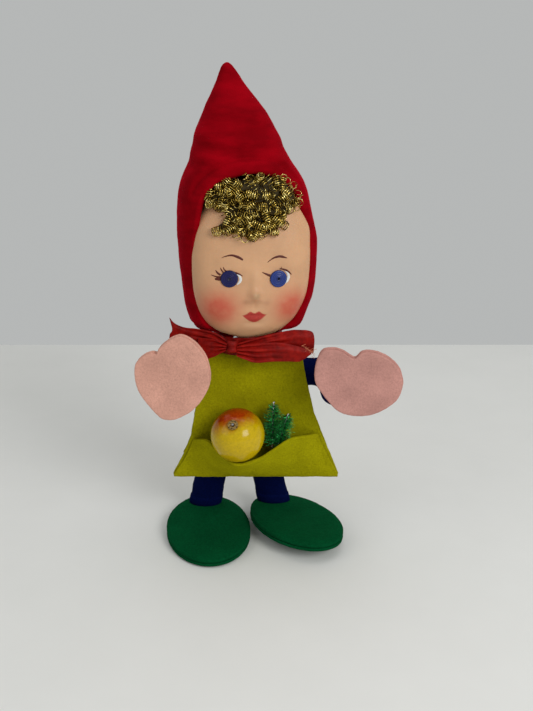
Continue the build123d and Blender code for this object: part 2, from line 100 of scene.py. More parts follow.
def curve(points, count, closed=False):
    """Points evenly spaced along a smooth curve through the given points."""
    p = np.asarray(points, float)
    if closed:
        p = np.vstack([p[-1], p, p[0], p[1]])
    else:
        p = np.vstack([2 * p[0] - p[1], p, 2 * p[-1] - p[-2]])
    steps = np.linspace(0, 1, 24, endpoint=False)[:, None]
    line = []
    # a Catmull-Rom spline
    for a, b, c, d in zip(p[:-3], p[1:-2], p[2:-1], p[3:]):
        square, cube = 2 * a - 5 * b + 4 * c - d, 3 * b - a - 3 * c + d
        line.append((2 * b + (c - a) * steps + square * steps**2 + cube * steps**3) / 2)
    line = np.vstack([*line, p[1 if closed else -2]])
    along = np.concatenate([[0], np.cumsum(np.linalg.norm(np.diff(line, axis=0), axis=1))])
    at = np.linspace(0, along[-1], count, endpoint=not closed)
    return np.stack([np.interp(at, along, line[:, k]) for k in range(line.shape[1])], axis=1)


def circle(count):
    """Points round a circle of radius 1, as a column of x and a column of y."""
    turns = np.linspace(0, 2 * np.pi, count, endpoint=False)[:, None]
    return np.cos(turns), np.sin(turns)


def grid_faces(rows, cols, wrap=False, start=0):
    """Quads of a grid of points. A wrapped grid closes along its rows."""
    i, j = np.meshgrid(np.arange(rows - 1), np.arange(cols if wrap else cols - 1), indexing="ij")
    k = (j + 1) % cols
    quads = np.stack([i * cols + j, i * cols + k, (i + 1) * cols + k, (i + 1) * cols + j], axis=-1)
    return (quads.reshape(-1, 4) + start).tolist()


def bridge(low, high, sides):
    """Quads between two closed rings of points, given the number of each ring's first point."""
    return [(low + j, low + (j + 1) % sides, high + (j + 1) % sides, high + j) for j in range(sides)]


def capped(rings, first, last):
    """Points and faces of a closed body: rings of points, and a middle point at each end."""
    rows, sides = len(rings), len(rings[0])
    low, high, top = rows * sides, rows * sides + 1, (rows - 1) * sides
    faces = grid_faces(rows, sides, wrap=True)
    faces += [(low, (j + 1) % sides, j) for j in range(sides)]
    faces += [(high, top + j, top + (j + 1) % sides) for j in range(sides)]
    return np.vstack([*rings, first, last]), faces


def polar_grid(outline, middle, rings, power=1.35):
    """Points and faces that fill a closed outline, as rings round a middle point."""
    outline, middle = np.asarray(outline, float), np.asarray(middle, float)
    n = len(outline)
    shares = 1 - (1 - np.arange(1, rings + 1) / rings) ** power
    points = [middle[None]] + [middle + s * (outline - middle) for s in shares]
    faces = [(0, 1 + j, 1 + (j + 1) % n) for j in range(n)]
    faces += grid_faces(rings, n, wrap=True, start=1)
    return np.vstack(points), faces


def disc_grid(outline, middle, count=44):
    """A square grid stretched over a rounded outline. Gives points, faces and how near the rim
    each point is."""
    outline, middle = np.asarray(outline, float), np.asarray(middle, float)
    a, b = np.meshgrid(np.linspace(-1, 1, count), np.linspace(-1, 1, count))
    far = np.maximum(np.abs(a), np.abs(b))
    wide = np.abs(a) > np.abs(b)
    ratio = np.where(wide, b / np.where(wide, a, 1), a / np.where(wide, 1, np.where(b == 0, 1, b)))
    turn = ratio * np.pi / 4
    angle = np.where(wide, turn + np.pi * (a < 0), np.pi / 2 - turn + np.pi * (b < 0))
    d = outline - middle
    around = np.arctan2(d[:, 1], d[:, 0])
    order = np.argsort(around)
    reach = np.interp(angle, around[order], np.hypot(d[:, 0], d[:, 1])[order], period=2 * np.pi)
    x = middle[0] + far * reach * np.cos(angle)
    y = middle[1] + far * reach * np.sin(angle)
    return np.stack([x.ravel(), y.ravel()], -1), grid_faces(count, count), far.ravel()


def raw(name, points, faces, material, closed=True):
    """A mesh object from millimetre points. Normals of a closed one face outwards."""
    mesh = bpy.data.meshes.new(name)
    mesh.from_pydata(row(points).tolist(), [], [tuple(f) for f in faces])
    if closed:
        work = bmesh.new()
        work.from_mesh(mesh)
        bmesh.ops.recalc_face_normals(work, faces=work.faces)
        work.to_mesh(mesh)
        work.free()
    mesh.shade_smooth()
    mesh.materials.append(material)
    obj = bpy.data.objects.new(name, mesh)
    bpy.context.scene.collection.objects.link(obj)
    return obj


def settle(obj):
    """Turn the modifiers into plain mesh."""
    bpy.context.view_layer.update()
    graph = bpy.context.evaluated_depsgraph_get()
    mesh = bpy.data.meshes.new_from_object(obj.evaluated_get(graph))
    obj.modifiers.clear()
    obj.data = mesh
    obj.data.shade_smooth()


def ruffle(obj, *layers, where=None):
    """Push the surface in and out by noise. Each layer is (height mm, size mm, seed)."""
    mesh = obj.data
    n = len(mesh.vertices)
    co, normal = np.empty(n * 3), np.empty(n * 3)
    mesh.vertices.foreach_get("co", co)
    mesh.vertex_normals.foreach_get("vector", normal)
    co, normal = co.reshape(-1, 3), normal.reshape(-1, 3)
    push = sum(height * noisy(co / MM, size, seed) for height, size, seed in layers)
    if where is not None:
        push = push * where(co / MM - OFFSET)
    co = co + normal * push[:, None] * MM
    mesh.vertices.foreach_set("co", co.ravel())
    mesh.update()


def cloth(name, points, faces, material, thick, soft=1, layers=((0.05, 0.7, 1.0),)):
    """A sheet of felt or ribbon: a surface given its thickness and soft edges."""
    obj = raw(name, points, faces, material, closed=False)
    solid = obj.modifiers.new("thick", "SOLIDIFY")
    solid.thickness = thick * MM
    solid.offset = 0
    solid.use_even_offset = False
    if soft:
        round_off = obj.modifiers.new("soft", "SUBSURF")
        round_off.levels = round_off.render_levels = soft
    settle(obj)
    if layers:
        ruffle(obj, *layers)
    return obj


def tube(path, radii, sides=10, flat=None):
    """Points and faces of a tube along a path. radii holds one radius for each path point, and
    flat, if given, the second half axis."""
    path = np.asarray(path, float)
    n = len(path)
    radii = np.broadcast_to(np.asarray(radii, float), (n,))
    second = radii if flat is None else np.broadcast_to(np.asarray(flat, float), (n,))
    tangent = unit(np.gradient(path, axis=0))
    side = np.cross(tangent[0], [0, 0, 1.0])
    if np.linalg.norm(side) < 0.2:
        side = np.cross(tangent[0], [0, 1.0, 0])
    side = unit(side)
    x, y = circle(sides)
    rings = []
    for k in range(n):
        side = unit(side - tangent[k] * (side @ tangent[k]))
        other = np.cross(tangent[k], side)
        rings.append(path[k] + x * side * radii[k] + y * other * second[k])
    return capped(rings, path[0], path[-1])


def place(obj, body, slot, *nodes):
    """Give a piece its body and hide the CAD nodes that it stands for. slot, the name of its finish, is not
    used.
    """
    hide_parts(*nodes)
    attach(obj, body)
    return obj


def join(obj, bodies, start, end, *nodes):
    """Hide the CAD nodes that a navy felt piece stands for, and bake its place into its points. The
    bodies and the two points that it is given are not used."""
    if nodes:
        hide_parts(*nodes)
    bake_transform(obj)


class Heap:
    """Collects many small bodies into one piece."""

    def __init__(self):
        self.points, self.faces, self.count = [], [], 0

    def add(self, points, faces):
        self.points.append(np.asarray(points, float))
        self.faces += [tuple(i + self.count for i in f) for f in faces]
        self.count += len(points)

    def piece(self, name, material):
        return raw(name, np.vstack(self.points), self.faces, material)


# ---- materials ----
class Look:
    """A procedural material, built node by node round one Principled shader."""

    def __init__(self, name, roughness, **sockets):
        self.material = bpy.data.materials.new(name)
        self.material.use_nodes = True
        self.tree = self.material.node_tree
        self.shader = self.tree.nodes["Principled BSDF"]
        self.shader.inputs["Roughness"].default_value = roughness
        for key, value in sockets.items():
            self.shader.inputs[key.replace("_", " ")].default_value = value
        self.coords = self.node("ShaderNodeTexCoord").outputs["Object"]

    def node(self, kind, **settings):
        made = self.tree.nodes.new(kind)
        for key, value in settings.items():
            setattr(made, key, value)
        return made

    def link(self, a, b):
        self.tree.links.new(a, b)

    def noise(self, size, detail=3.0, roughness=0.6, stretch=(1, 1, 1)):
        """Noise with features of a size in millimetres."""
        mapping = self.node("ShaderNodeMapping")
        mapping.inputs["Scale"].default_value = stretch
        self.link(self.coords, mapping.inputs["Vector"])
        made = self.node("ShaderNodeTexNoise")
        made.inputs["Scale"].default_value = 1 / (size * MM)
        made.inputs["Detail"].default_value = detail
        made.inputs["Roughness"].default_value = roughness
        self.link(mapping.outputs["Vector"], made.inputs["Vector"])
        return made.outputs["Fac"]

    def fill(self, node, values):
        """Set a node's inputs by number to a colour, a number or another node's output."""
        for index, value in values.items():
            if isinstance(value, tuple):
                node.inputs[index].default_value = (*value, 1)
            elif isinstance(value, (int, float)):
                node.inputs[index].default_value = value
            else:
                self.link(value, node.inputs[index])

    def attribute(self, name):
        return self.node("ShaderNodeAttribute", attribute_name=name).outputs["Fac"]

    def ramp(self, value, *stops):
        """A colour ramp. Each stop is (position, colour)."""
        made = self.node("ShaderNodeValToRGB")
        elements = made.color_ramp.elements
        while len(elements) < len(stops):
            elements.new(0.5)
        for element, (position, colour) in zip(elements, stops):
            element.position = position
            element.color = (*colour, 1)
        self.link(value, made.inputs["Fac"])
        return made.outputs["Color"]

    def mix(self, amount, a, b, how="MIX"):
        made = self.node("ShaderNodeMix", data_type="RGBA", blend_type=how)
        # the colour sockets of this node are inputs 6 and 7, and output 2
        self.fill(made, {0: amount, 6: a, 7: b})
        return made.outputs[2]

    def tint(self, tone, amount, share, colour):
        """A tone with a colour mixed in by an amount times a share."""
        return self.mix(self.math("MULTIPLY", amount, share), tone, colour)

    def math(self, how, a, b):
        made = self.node("ShaderNodeMath", operation=how)
        self.fill(made, {0: a, 1: b})
        return made.outputs[0]

    def colour(self, value):
        self.link(value, self.shader.inputs["Base Color"])

    def rough(self, value, low, high):
        spread = self.node("ShaderNodeMapRange")
        spread.inputs["To Min"].default_value = low
        spread.inputs["To Max"].default_value = high
        self.link(value, spread.inputs["Value"])
        self.link(spread.outputs["Result"], self.shader.inputs["Roughness"])

    def bumps(self, *layers):
        """Chain bumps. Each layer is (height value, strength, depth mm)."""
        before = None
        for value, strength, depth in layers:
            made = self.node("ShaderNodeBump")
            made.inputs["Strength"].default_value = strength
            made.inputs["Distance"].default_value = depth * MM
            self.link(value, made.inputs["Height"])
            if before is not None:
                self.link(before, made.inputs["Normal"])
            before = made.outputs["Normal"]
        self.link(before, self.shader.inputs["Normal"])


def shade(colour, k):
    """A colour made k times as bright."""
    return tuple(min(1.0, c * k) for c in colour)


def felt(name, colour, dark=0.62, light=1.25, sheen=0.35, nap=0.5):
    """Pressed wool felt: matted fibres, a soft nap and slight clouds of colour."""
    look = Look(name, 0.95, Sheen_Weight=sheen, Sheen_Roughness=0.45, Specular_IOR_Level=0.02)
    look.shader.inputs["Sheen Tint"].default_value = (*shade(colour, 1.6), 1)
    fibres = look.noise(nap, 6.0, 0.72)
    strands = look.noise(0.35, 4.0, 0.7, stretch=(1, 0.35, 2.2))
    clouds = look.noise(7.0, 3.0, 0.5)
    tone = look.ramp(fibres, (0.30, shade(colour, dark)), (0.52, colour), (0.75, shade(colour, light)))
    tone = look.tint(tone, strands, 0.35, shade(colour, 0.8))
    cloud = look.ramp(clouds, (0.3, (0.86, 0.86, 0.86)), (0.7, (1.06, 1.06, 1.06)))
    look.colour(look.mix(1.0, tone, cloud, "MULTIPLY"))
    look.bumps((fibres, 0.75, 0.25), (strands, 0.5, 0.12))
    return look.material


def velvet(name, colour):
    """Short pile velvet: deep colour, a bright edge sheen and crushed streaks."""
    look = Look(name, 0.82, Sheen_Weight=0.6, Sheen_Roughness=0.3, Specular_IOR_Level=0.01)
    look.shader.inputs["Sheen Tint"].default_value = (0.75, 0.004, 0.03, 1)
    pile = look.noise(0.28, 5.0, 0.75)
    crush = look.noise(5.5, 3.0, 0.55, stretch=(0.4, 0.4, 1.4))
    broad = look.noise(11.0, 2.0, 0.5)
    deep, usual, bright = (shade(colour, k) for k in (0.68, 0.92, 1.15))
    tone = look.ramp(crush, (0.34, deep), (0.5, usual), (0.66, bright))
    tone = look.tint(tone, pile, 0.3, shade(colour, 0.6))
    cloud = look.ramp(broad, (0.3, (0.78, 0.78, 0.78)), (0.7, (1.05, 1.05, 1.05)))
    look.colour(look.mix(1.0, tone, cloud, "MULTIPLY"))
    look.bumps((pile, 0.5, 0.1), (crush, 0.25, 0.2))
    return look.material


def metal(name, colour, roughness, dirt=0.35, size=1.2):
    """Bare metal with darker spots of a given size and fine scratches."""
    look = Look(name, roughness, Metallic=1.0)
    spots = look.noise(size, 4.0, 0.6)
    look.colour(look.ramp(spots, (0.35, shade(colour, dirt)), (0.6, colour)))
    look.rough(spots, roughness * 1.5, roughness * 0.8)
    look.bumps((look.noise(0.3, 2.0), 0.2, 0.03))
    return look.material


OLIVE = (0.31, 0.285, 0.0028)
PINK = (0.66, 0.345, 0.265)
GREEN = (0.0010, 0.062, 0.019)
NAVY = (0.0014, 0.0045, 0.044)
RED = (0.29, 0.0008, 0.0052)
SATIN = (0.27, 0.0050, 0.0030)
SKIN = (0.585, 0.325, 0.172)

olive_felt = felt("olive_felt", OLIVE)
pink_felt = felt("pink_felt", PINK, dark=0.78, light=1.15, nap=0.6)
# a darker copy of the pink felt for the doll's left hand: painted shade, not a different felt
shaded_pink_felt = felt("pink_felt_painted_shade", (0.53, 0.265, 0.225), dark=0.78, light=1.15, nap=0.6)
green_felt = felt("green_felt", GREEN, dark=0.55, light=1.35, nap=0.55)
navy_felt = felt("navy_felt", NAVY, dark=0.5, light=1.7, sheen=0.2, nap=0.4)
red_velvet = velvet("red_velvet", RED)
steel = metal("drawn_steel", (0.60, 0.60, 0.60), 0.28)
plate = metal("stamped_steel", (0.50, 0.50, 0.48), 0.38)
silver_tip = metal("silver_wire", (0.80, 0.80, 0.80), 0.2)
brass = metal("darkened_brass", (0.55, 0.36, 0.13), 0.3, dirt=0.06, size=0.5)


def satin_look():
    """Woven satin: fine ribs across, a long sheen along, and random patches of painted shade and painted
    highlight.
    """
    look = Look("red_satin", 0.42, Sheen_Weight=0.05, Sheen_Roughness=0.3, Specular_IOR_Level=0.1)
    look.shader.inputs["Sheen Tint"].default_value = (*shade(SATIN, 2.0), 1)
    look.shader.inputs["Anisotropic"].default_value = 0.5
    ribs = look.noise(0.16, 2.0, 0.5, stretch=(3.0, 1, 0.12))
    threads = look.noise(0.2, 2.0, 0.5, stretch=(0.1, 1, 2.0))
    smudge_and_painted_light = look.noise(3.0, 4.0, 0.6)
    # a paler red for painted highlights; the darkest stop below is painted shade
    edge = (0.38, 0.012, 0.006)
    tone = look.ramp(smudge_and_painted_light, (0.34, shade(SATIN, 0.42)), (0.52, shade(SATIN, 0.9)), (0.72, edge))
    tone = look.tint(tone, ribs, 0.5, shade(SATIN, 0.6))
    look.colour(tone)
    look.rough(smudge_and_painted_light, 0.55, 0.36)
    look.bumps((ribs, 0.5, 0.05), (threads, 0.4, 0.05))
    return look.material


red_satin = satin_look()


def cotton_look(name, colour):
    """Plain cotton with its weave."""
    look = Look(name, 0.88, Sheen_Weight=0.15, Specular_IOR_Level=0.2)
    weave_a = look.noise(0.25, 2.0, 0.5, stretch=(4.0, 4.0, 0.5))
    weave_b = look.noise(0.25, 2.0, 0.5, stretch=(0.5, 0.5, 4.0))
    clouds = look.noise(5.0)
    look.colour(look.ramp(clouds, (0.3, shade(colour, 0.8)), (0.7, colour)))
    look.bumps((weave_a, 0.4, 0.05), (weave_b, 0.4, 0.05))
    return look.material


peach_cotton = cotton_look("peach_cotton", (0.40, 0.19, 0.11))
wadding = cotton_look("cotton_wadding", (0.70, 0.66, 0.58))


# ---- head frame and mask ----
NECK = np.array([NECK_X, NECK_Y, 67.5])
TURN = math.radians(8.5)
HEAD_X = np.array([math.cos(TURN), math.sin(TURN), 0.0])
HEAD_FORWARD = np.array([math.sin(TURN), -math.cos(TURN), 0.0])
FACE_MIDDLE = np.array([0.0, 26.5])
FACE_OUTLINE = [
    (-0.6, 2.3), (7.4, 3.7), (12.3, 7.1), (15.1, 11.2), (17.2, 16.4), (18.1, 23.3), (18.2, 30.5),
    (17.2, 38.0), (11.4, 45.8), (0, 48.8), (-10.4, 45.8), (-16.4, 38.4), (-18.0, 31.6),
    (-18.1, 24.5), (-17.5, 17.0), (-15.9, 11.0), (-12.7, 6.5), (-7.9, 3.8),
]
FACE_RING = curve(FACE_OUTLINE, 220, closed=True)


def head_point(u, v, forward):
    """Sideways, up from the neck pivot and forwards from the neck, as a point."""
    u, v, forward = np.broadcast_arrays(np.asarray(u, float), v, forward)
    points = NECK + u[..., None] * HEAD_X + forward[..., None] * HEAD_FORWARD
    points[..., 2] += v
    return points


def ring_share(u, v, ring, middle):
    """How far a point is on its way from a middle point to the outline round it."""
    d = np.stack([u, v], -1) - middle
    ring = ring - middle
    angles = np.arctan2(ring[:, 0], ring[:, 1])
    order = np.argsort(angles)
    reach = np.interp(
        np.arctan2(d[..., 0], d[..., 1]),
        angles[order],
        np.hypot(ring[:, 0], ring[:, 1])[order],
        period=2 * np.pi,
    )
    return np.hypot(d[..., 0], d[..., 1]) / reach


def dab(u, v, at_u, at_v, wide, tall):
    """A soft oval spot of height 1."""
    return np.exp(-(((u - at_u) / wide) ** 2) - ((v - at_v) / tall) ** 2)


# the mask's moulding as (height, sideways, up, half width, half height). A row that isn't on
# the middle line is on both sides of it.
MOULDING = [
    (1.7, 0, 17.5, 1.7, 1.8),  # tip of the nose
    (0.45, 0, 21.5, 1.5, 3.4),  # its bridge
    (0.35, 1.9, 16.2, 1.0, 0.9),  # its wings
    (-0.55, 7.2, 23.0, 3.6, 2.8),  # eye hollows
    (0.5, 10.2, 14.0, 4.2, 4.2),  # cheeks
    (-0.22, 0, 14.3, 0.6, 1.0),  # groove over the lips
    (0.45, 0, 12.1, 2.6, 0.95),  # upper lip
    (0.42, 0, 10.3, 2.0, 0.9),  # lower lip
    (-0.16, 0, 11.35, 2.8, 0.3),  # line between the lips
    (-0.25, 0, 8.6, 2.6, 0.7),  # dip under the lips
]


def face_depth(u, v):
    """The moulded mask: a dome with its small features, and a round chin."""
    u, v = np.broadcast_arrays(np.asarray(u, float), np.asarray(v, float))
    share = np.clip(ring_share(u, v, FACE_RING, FACE_MIDDLE), 0, 1)
    depth = 8.6 + 8.8 * (1 - share**3.4) ** 0.55
    for height, aside, up, wide, tall in MOULDING:
        for side in (-1, 1) if aside else (1,):
            depth = depth + height * dab(u, v, side * aside, up, wide, tall)
    return depth + 0.55 * dab(u, v, 0, 6.9, 3.4, 1.7) * (1 - share**6)


def on_face(u, v, lift=0.0):
    return head_point(u, v, face_depth(u, v) + lift)


def mask_look():
    """Painted mask: warm skin with blushed cheeks, red lips and faint brush and cloth grain."""
    look = Look("painted_mask", 0.5, Specular_IOR_Level=0.35, Subsurface_Weight=0.08)
    look.shader.inputs["Subsurface Radius"].default_value = (0.0012, 0.0005, 0.0002)
    look.shader.inputs["Coat Weight"].default_value = 0.08
    look.shader.inputs["Coat Roughness"].default_value = 0.35
    clouds = look.noise(6.0, 4.0, 0.55)
    grain = look.noise(0.5, 3.0, 0.6, stretch=(0.5, 0.5, 1.6))
    skin = look.ramp(clouds, (0.3, shade(SKIN, 0.90)), (0.7, shade(SKIN, 1.05)))
    skin = look.tint(skin, grain, 0.22, shade(SKIN, 0.82))
    patchy = look.ramp(look.noise(2.2, 3.0, 0.6), (0.25, (0.75,) * 3), (0.7, (1.0,) * 3))
    skin = look.tint(skin, look.attribute("blush"), patchy, (0.50, 0.050, 0.026))
    # a greyish smudge on the tip of the nose
    skin = look.tint(skin, look.attribute("smudge_and_painted_light"), 0.5, (0.26, 0.20, 0.10))
    skin = look.tint(skin, look.attribute("shadow"), 0.5, (0.30, 0.10, 0.045))
    lip = look.ramp(look.noise(0.5, 2.0), (0.3, (0.33, 0.017, 0.012)), (0.7, (0.43, 0.030, 0.019)))
    look.colour(look.mix(look.attribute("lips"), skin, lip))
    look.rough(grain, 0.46, 0.56)
    look.bumps((grain, 0.35, 0.06), (clouds, 0.2, 0.3))
    return look.material


def lips_mask(u, v):
    """1 inside the painted lips: two peaks over a pointed bow, and a round lower edge."""
    half_width, corner_height = 3.62, 11.45
    aside = np.abs(u)
    span = np.clip(aside / half_width, 0, 1)
    peaks = 12.05 + 0.82 * bump(aside, 1.45, 0.95) - 0.55 * span**2
    upper = corner_height + (peaks - corner_height) * (1 - span**2.2)
    lower = corner_height - 2.45 * (1 - span**1.7)
    inside = np.minimum(upper - v, v - lower)
    return smoothstep(-0.10, 0.12, np.where(aside < half_width, inside, -1.0))


def store(obj, name, values):
    """Keep a value for each point, for the materials to read."""
    made = obj.data.attributes.new(name, "FLOAT", "POINT")
    made.data.foreach_set("value", np.asarray(values, np.float32))


MASK_RINGS, MASK_SIDES = 110, 260
mask_ring = curve(FACE_RING, MASK_SIDES, closed=True)
mask_flat, skin_faces = polar_grid(mask_ring, FACE_MIDDLE, MASK_RINGS, 1.25)
mask_u, mask_v = mask_flat[:, 0], mask_flat[:, 1]
front = on_face(mask_u, mask_v)
# the rim turns back and in, then a second skin closes the shell
rim = front[-MASK_SIDES:]
away = unit(rim - head_point(0, FACE_MIDDLE[1], face_depth(0, FACE_MIDDLE[1]) - 8))
turned = [rim + away * a - HEAD_FORWARD * b for a, b in ((0.05, 0.35), (-0.1, 0.8), (-0.6, 1.0))]
back_v = (mask_v - FACE_MIDDLE[1]) * 0.965 + FACE_MIDDLE[1]
back = on_face(mask_u * 0.955, back_v) - HEAD_FORWARD
n_front, n_turned = len(front), len(turned) * MASK_SIDES
mask_points = np.vstack([front, *turned, back])
# the first point of each ring round the rim, from the front's edge to the back's
levels = [n_front + k * MASK_SIDES for k in (-1, 0, 1, 2)] + [len(mask_points) - MASK_SIDES]
mask_faces = skin_faces + [tuple(i + n_front + n_turned for i in f) for f in skin_faces]
for low, high in zip(levels[:-1], levels[1:]):
    mask_faces += bridge(low, high, MASK_SIDES)
mask = raw("face_mask_painted", mask_points, mask_faces, mask_look())
all_u = np.concatenate([mask_u, np.zeros(n_turned), mask_u])
all_v = np.concatenate([mask_v, np.zeros(n_turned), mask_v])
on_front = np.arange(len(mask_points)) < n_front
cheeks = 1.05 * (dab(all_u, all_v, -10.6, 13.4, 5.6, 5.2) + dab(all_u, all_v, 11.4, 13.2, 5.0, 5.0))
cheeks = cheeks + 0.10 * dab(all_u, all_v, 0, 17.0, 2.2, 2.4)
nostrils = sum(0.55 * dab(all_u, all_v, *at, 1.1, 0.8) for at in ((-3.0, 15.5), (3.6, 15.1)))
sockets = sum(0.25 * dab(all_u, all_v, x, 22.4, 3.6, 3.2) for x in (-7.3, 7.0))
store(mask, "blush", np.clip(cheeks, 0, 0.85) * on_front)
store(mask, "lips", lips_mask(all_u, all_v) * on_front)
# a greyish smudge on the tip of the nose
store(mask, "smudge_and_painted_light", dab(all_u, all_v, 0.5, 17.7, 1.1, 1.0) * on_front)
store(mask, "shadow", np.clip(nostrils + sockets, 0, 1) * on_front)
place(mask, "head", "painted_mask", "face_mask")


# ---- painted lines of the face ----
def paint_look(name, colour, spread=0.8):
    """Brush paint with faint streaks."""
    look = Look(name, 0.5, Specular_IOR_Level=0.3)
    streaks = look.noise(0.4, 3.0)
    look.colour(look.ramp(streaks, (0.3, shade(colour, spread)), (0.7, shade(colour, 1.2))))
    look.bumps((streaks, 0.3, 0.02))
    return look.material


def stroke(heap, path, widths, lift=0.05, thick=0.05):
    """A painted line on the mask, as a low body with tapering width."""
    rows = 26
    line = curve(path, rows)
    width = np.interp(np.linspace(0, 1, rows), np.linspace(0, 1, len(widths)), widths)
    along = unit(np.gradient(line, axis=0))
    across = np.stack([-along[:, 1], along[:, 0]], -1)
    # the section: places across the line, as shares of its width, and heights
    section = ((-0.5, -1), (-0.42, 0.7), (0.0, 1), (0.42, 0.7), (0.5, -1))
    layers = []
    for offset, rise in section:
        flat = line + across * (width * offset)[:, None]
        layers.append(on_face(flat[:, 0], flat[:, 1], lift + rise * thick))
    points = np.stack(layers, axis=1).reshape(-1, 3)
    cols = len(section)
    faces = grid_faces(rows, cols, wrap=True)
    faces += [tuple(range(cols)), tuple(range((rows - 1) * cols, rows * cols))]
    heap.add(points, faces)


# each line's points, and its widths from its start to its end
BROWS = [
    (
        [(-9.5, 29.1), (-8.6, 29.5), (-6.75, 29.85), (-4.96, 29.35), (-3.42, 28.45)],
        (0.1, 0.34, 0.6, 0.8, 0.55),
    ),
    ([(3.75, 27.45), (4.5, 28.0), (5.75, 28.75), (7.5, 29.05), (9.6, 28.45)], (0.1, 0.34, 0.66, 0.75, 0.2)),
]
RIGHT_LASHES = [
    ([(-9.9, 24.0), (-10.6, 24.5), (-11.3, 25.4)], (0.65, 0.6, 0.15)),
    ([(-9.1, 24.8), (-9.5, 25.3), (-9.9, 26.2)], (0.46, 0.42, 0.12)),
    ([(-8.3, 25.2), (-8.8, 25.6), (-9.1, 26.4)], (0.42, 0.36, 0.1)),
    ([(-9.9, 23.4), (-11.2, 23.5), (-12.6, 24.0)], (0.46, 0.42, 0.1)),
    ([(-9.6, 22.75), (-10.6, 22.8), (-11.5, 22.75)], (0.95, 1.1, 0.5)),
    ([(-5.9, 24.75), (-4.6, 24.25), (-3.5, 23.6)], (0.5, 0.5, 0.12)),
]
LEFT_LASHES = [
    ([(4.6, 23.4), (3.5, 23.9), (2.2, 24.6)], (0.75, 0.55, 0.12)),
    ([(7.4, 25.35), (8.0, 25.25), (9.4, 24.75), (10.3, 24.1), (11.1, 23.3)], (0.2, 0.5, 0.62, 0.5, 0.12)),
    ([(7.6, 25.1), (7.9, 25.5), (7.95, 25.95)], (0.25, 0.2, 0.06)),
]
WHITES = [
    (
        [(-5.3, 24.1), (-4.45, 23.5), (-4.15, 22.7), (-4.35, 21.9), (-5.2, 21.0)],
        (0.3, 0.75, 0.95, 0.75, 0.25),
    ),
    ([(9.0, 24.7), (9.9, 23.8), (10.15, 22.7), (9.75, 21.6), (8.5, 20.45)], (0.25, 0.75, 1.0, 0.8, 0.25)),
]
brown = paint_look("brown_paint", (0.085, 0.012, 0.006))
lines = Heap()
for path, widths in BROWS + RIGHT_LASHES + LEFT_LASHES:
    stroke(lines, path, widths)
place(lines.piece("face_lines", brown), "head", "painted_mask")
whites = Heap()
for path, widths in WHITES:
    stroke(whites, path, widths, lift=0.03)
white = paint_look("white_paint", (0.62, 0.62, 0.60), 0.9)
place(whites.piece("eye_whites", white), "head", "painted_mask")


DISC_SIDES, DISC_RADIUS = 64, 2.56
# (radius, height) from the hole in a disc over its pressed rings to its underside
DISC_PROFILE = [
    (0.28, -0.22), (0.34, 0.42), (0.52, 0.52), (0.72, 0.44), (0.86, 0.40), (1.02, 0.50),
    (1.18, 0.41), (1.34, 0.38), (1.50, 0.49), (1.66, 0.40), (1.80, 0.37), (1.98, 0.47),
    (2.14, 0.40), (2.30, 0.40), (2.44, 0.36), (2.53, 0.24), (DISC_RADIUS, 0.05), (2.50, -0.22),
]
# (share of the radius, brightness) of the rings outside the dot: painted highlights on the pressed ridges,
# and painted shade in the grooves, round the hole and at the rim
DISC_RING_LIGHTING = [
    (0.14, 0.35), (0.24, 0.9), (0.33, 0.55), (0.41, 1.25), (0.52, 0.6), (0.60, 1.3), (0.70, 0.6),
    (0.79, 1.2), (0.92, 0.9), (1.0, 0.45),
]


def eye_disc(name, u, v, base, dot, node, slot_name):
    """A flat disc with pressed rings and a hole in the middle, on the mask."""
    across = unit(on_face(u + 1.5, v) - on_face(u - 1.5, v))
    up = unit(on_face(u, v + 1.5) - on_face(u, v - 1.5))
    out = unit(np.cross(across, up))
    centre = on_face(u, v, 0.28)
    x, y = circle(DISC_SIDES)
    around = x * across + y * up
    rings = [centre + out * height + radius * around for radius, height in DISC_PROFILE]
    # the hole's floor and the underside meet in the middle
    hub = centre - out * 0.25
    points, faces = capped(rings, hub, hub)
    look = Look(name + "_gloss", 0.25, Specular_IOR_Level=0.3, Coat_Weight=0.05, Coat_Roughness=0.2)
    # these rings of brightness are painted highlight and shade that follow the pressed ridges
    tones = [(at, shade(base, k)) for at, k in DISC_RING_LIGHTING]
    tone = look.ramp(look.attribute("reach"), (0.0, dot), (0.11, dot), *tones)
    mottle = look.noise(0.8, 4.0, 0.6)
    look.colour(look.tint(tone, mottle, 0.45, shade(base, 0.4)))
    look.bumps((mottle, 0.25, 0.05))
    disc = raw(name, points, faces, look.material)
    reach = np.repeat([radius / DISC_RADIUS for radius, _ in DISC_PROFILE], DISC_SIDES)
    store(disc, "reach", [*reach, 0.0, 0.9])
    place(disc, "head", slot_name, node)


NAVY_RINGS, BLUE_RINGS = (0.005, 0.005, 0.075), (0.014, 0.035, 0.20)
GREY_DOT, BLACK_DOT = (0.16, 0.17, 0.24), (0.012, 0.010, 0.008)
eye_disc("eye_right_ringed", -7.38, 22.84, NAVY_RINGS, GREY_DOT, "eye_disc_right", "navy_disc")
eye_disc("eye_left_ringed", 7.07, 22.38, BLUE_RINGS, BLACK_DOT, "eye_disc_left", "blue_disc")

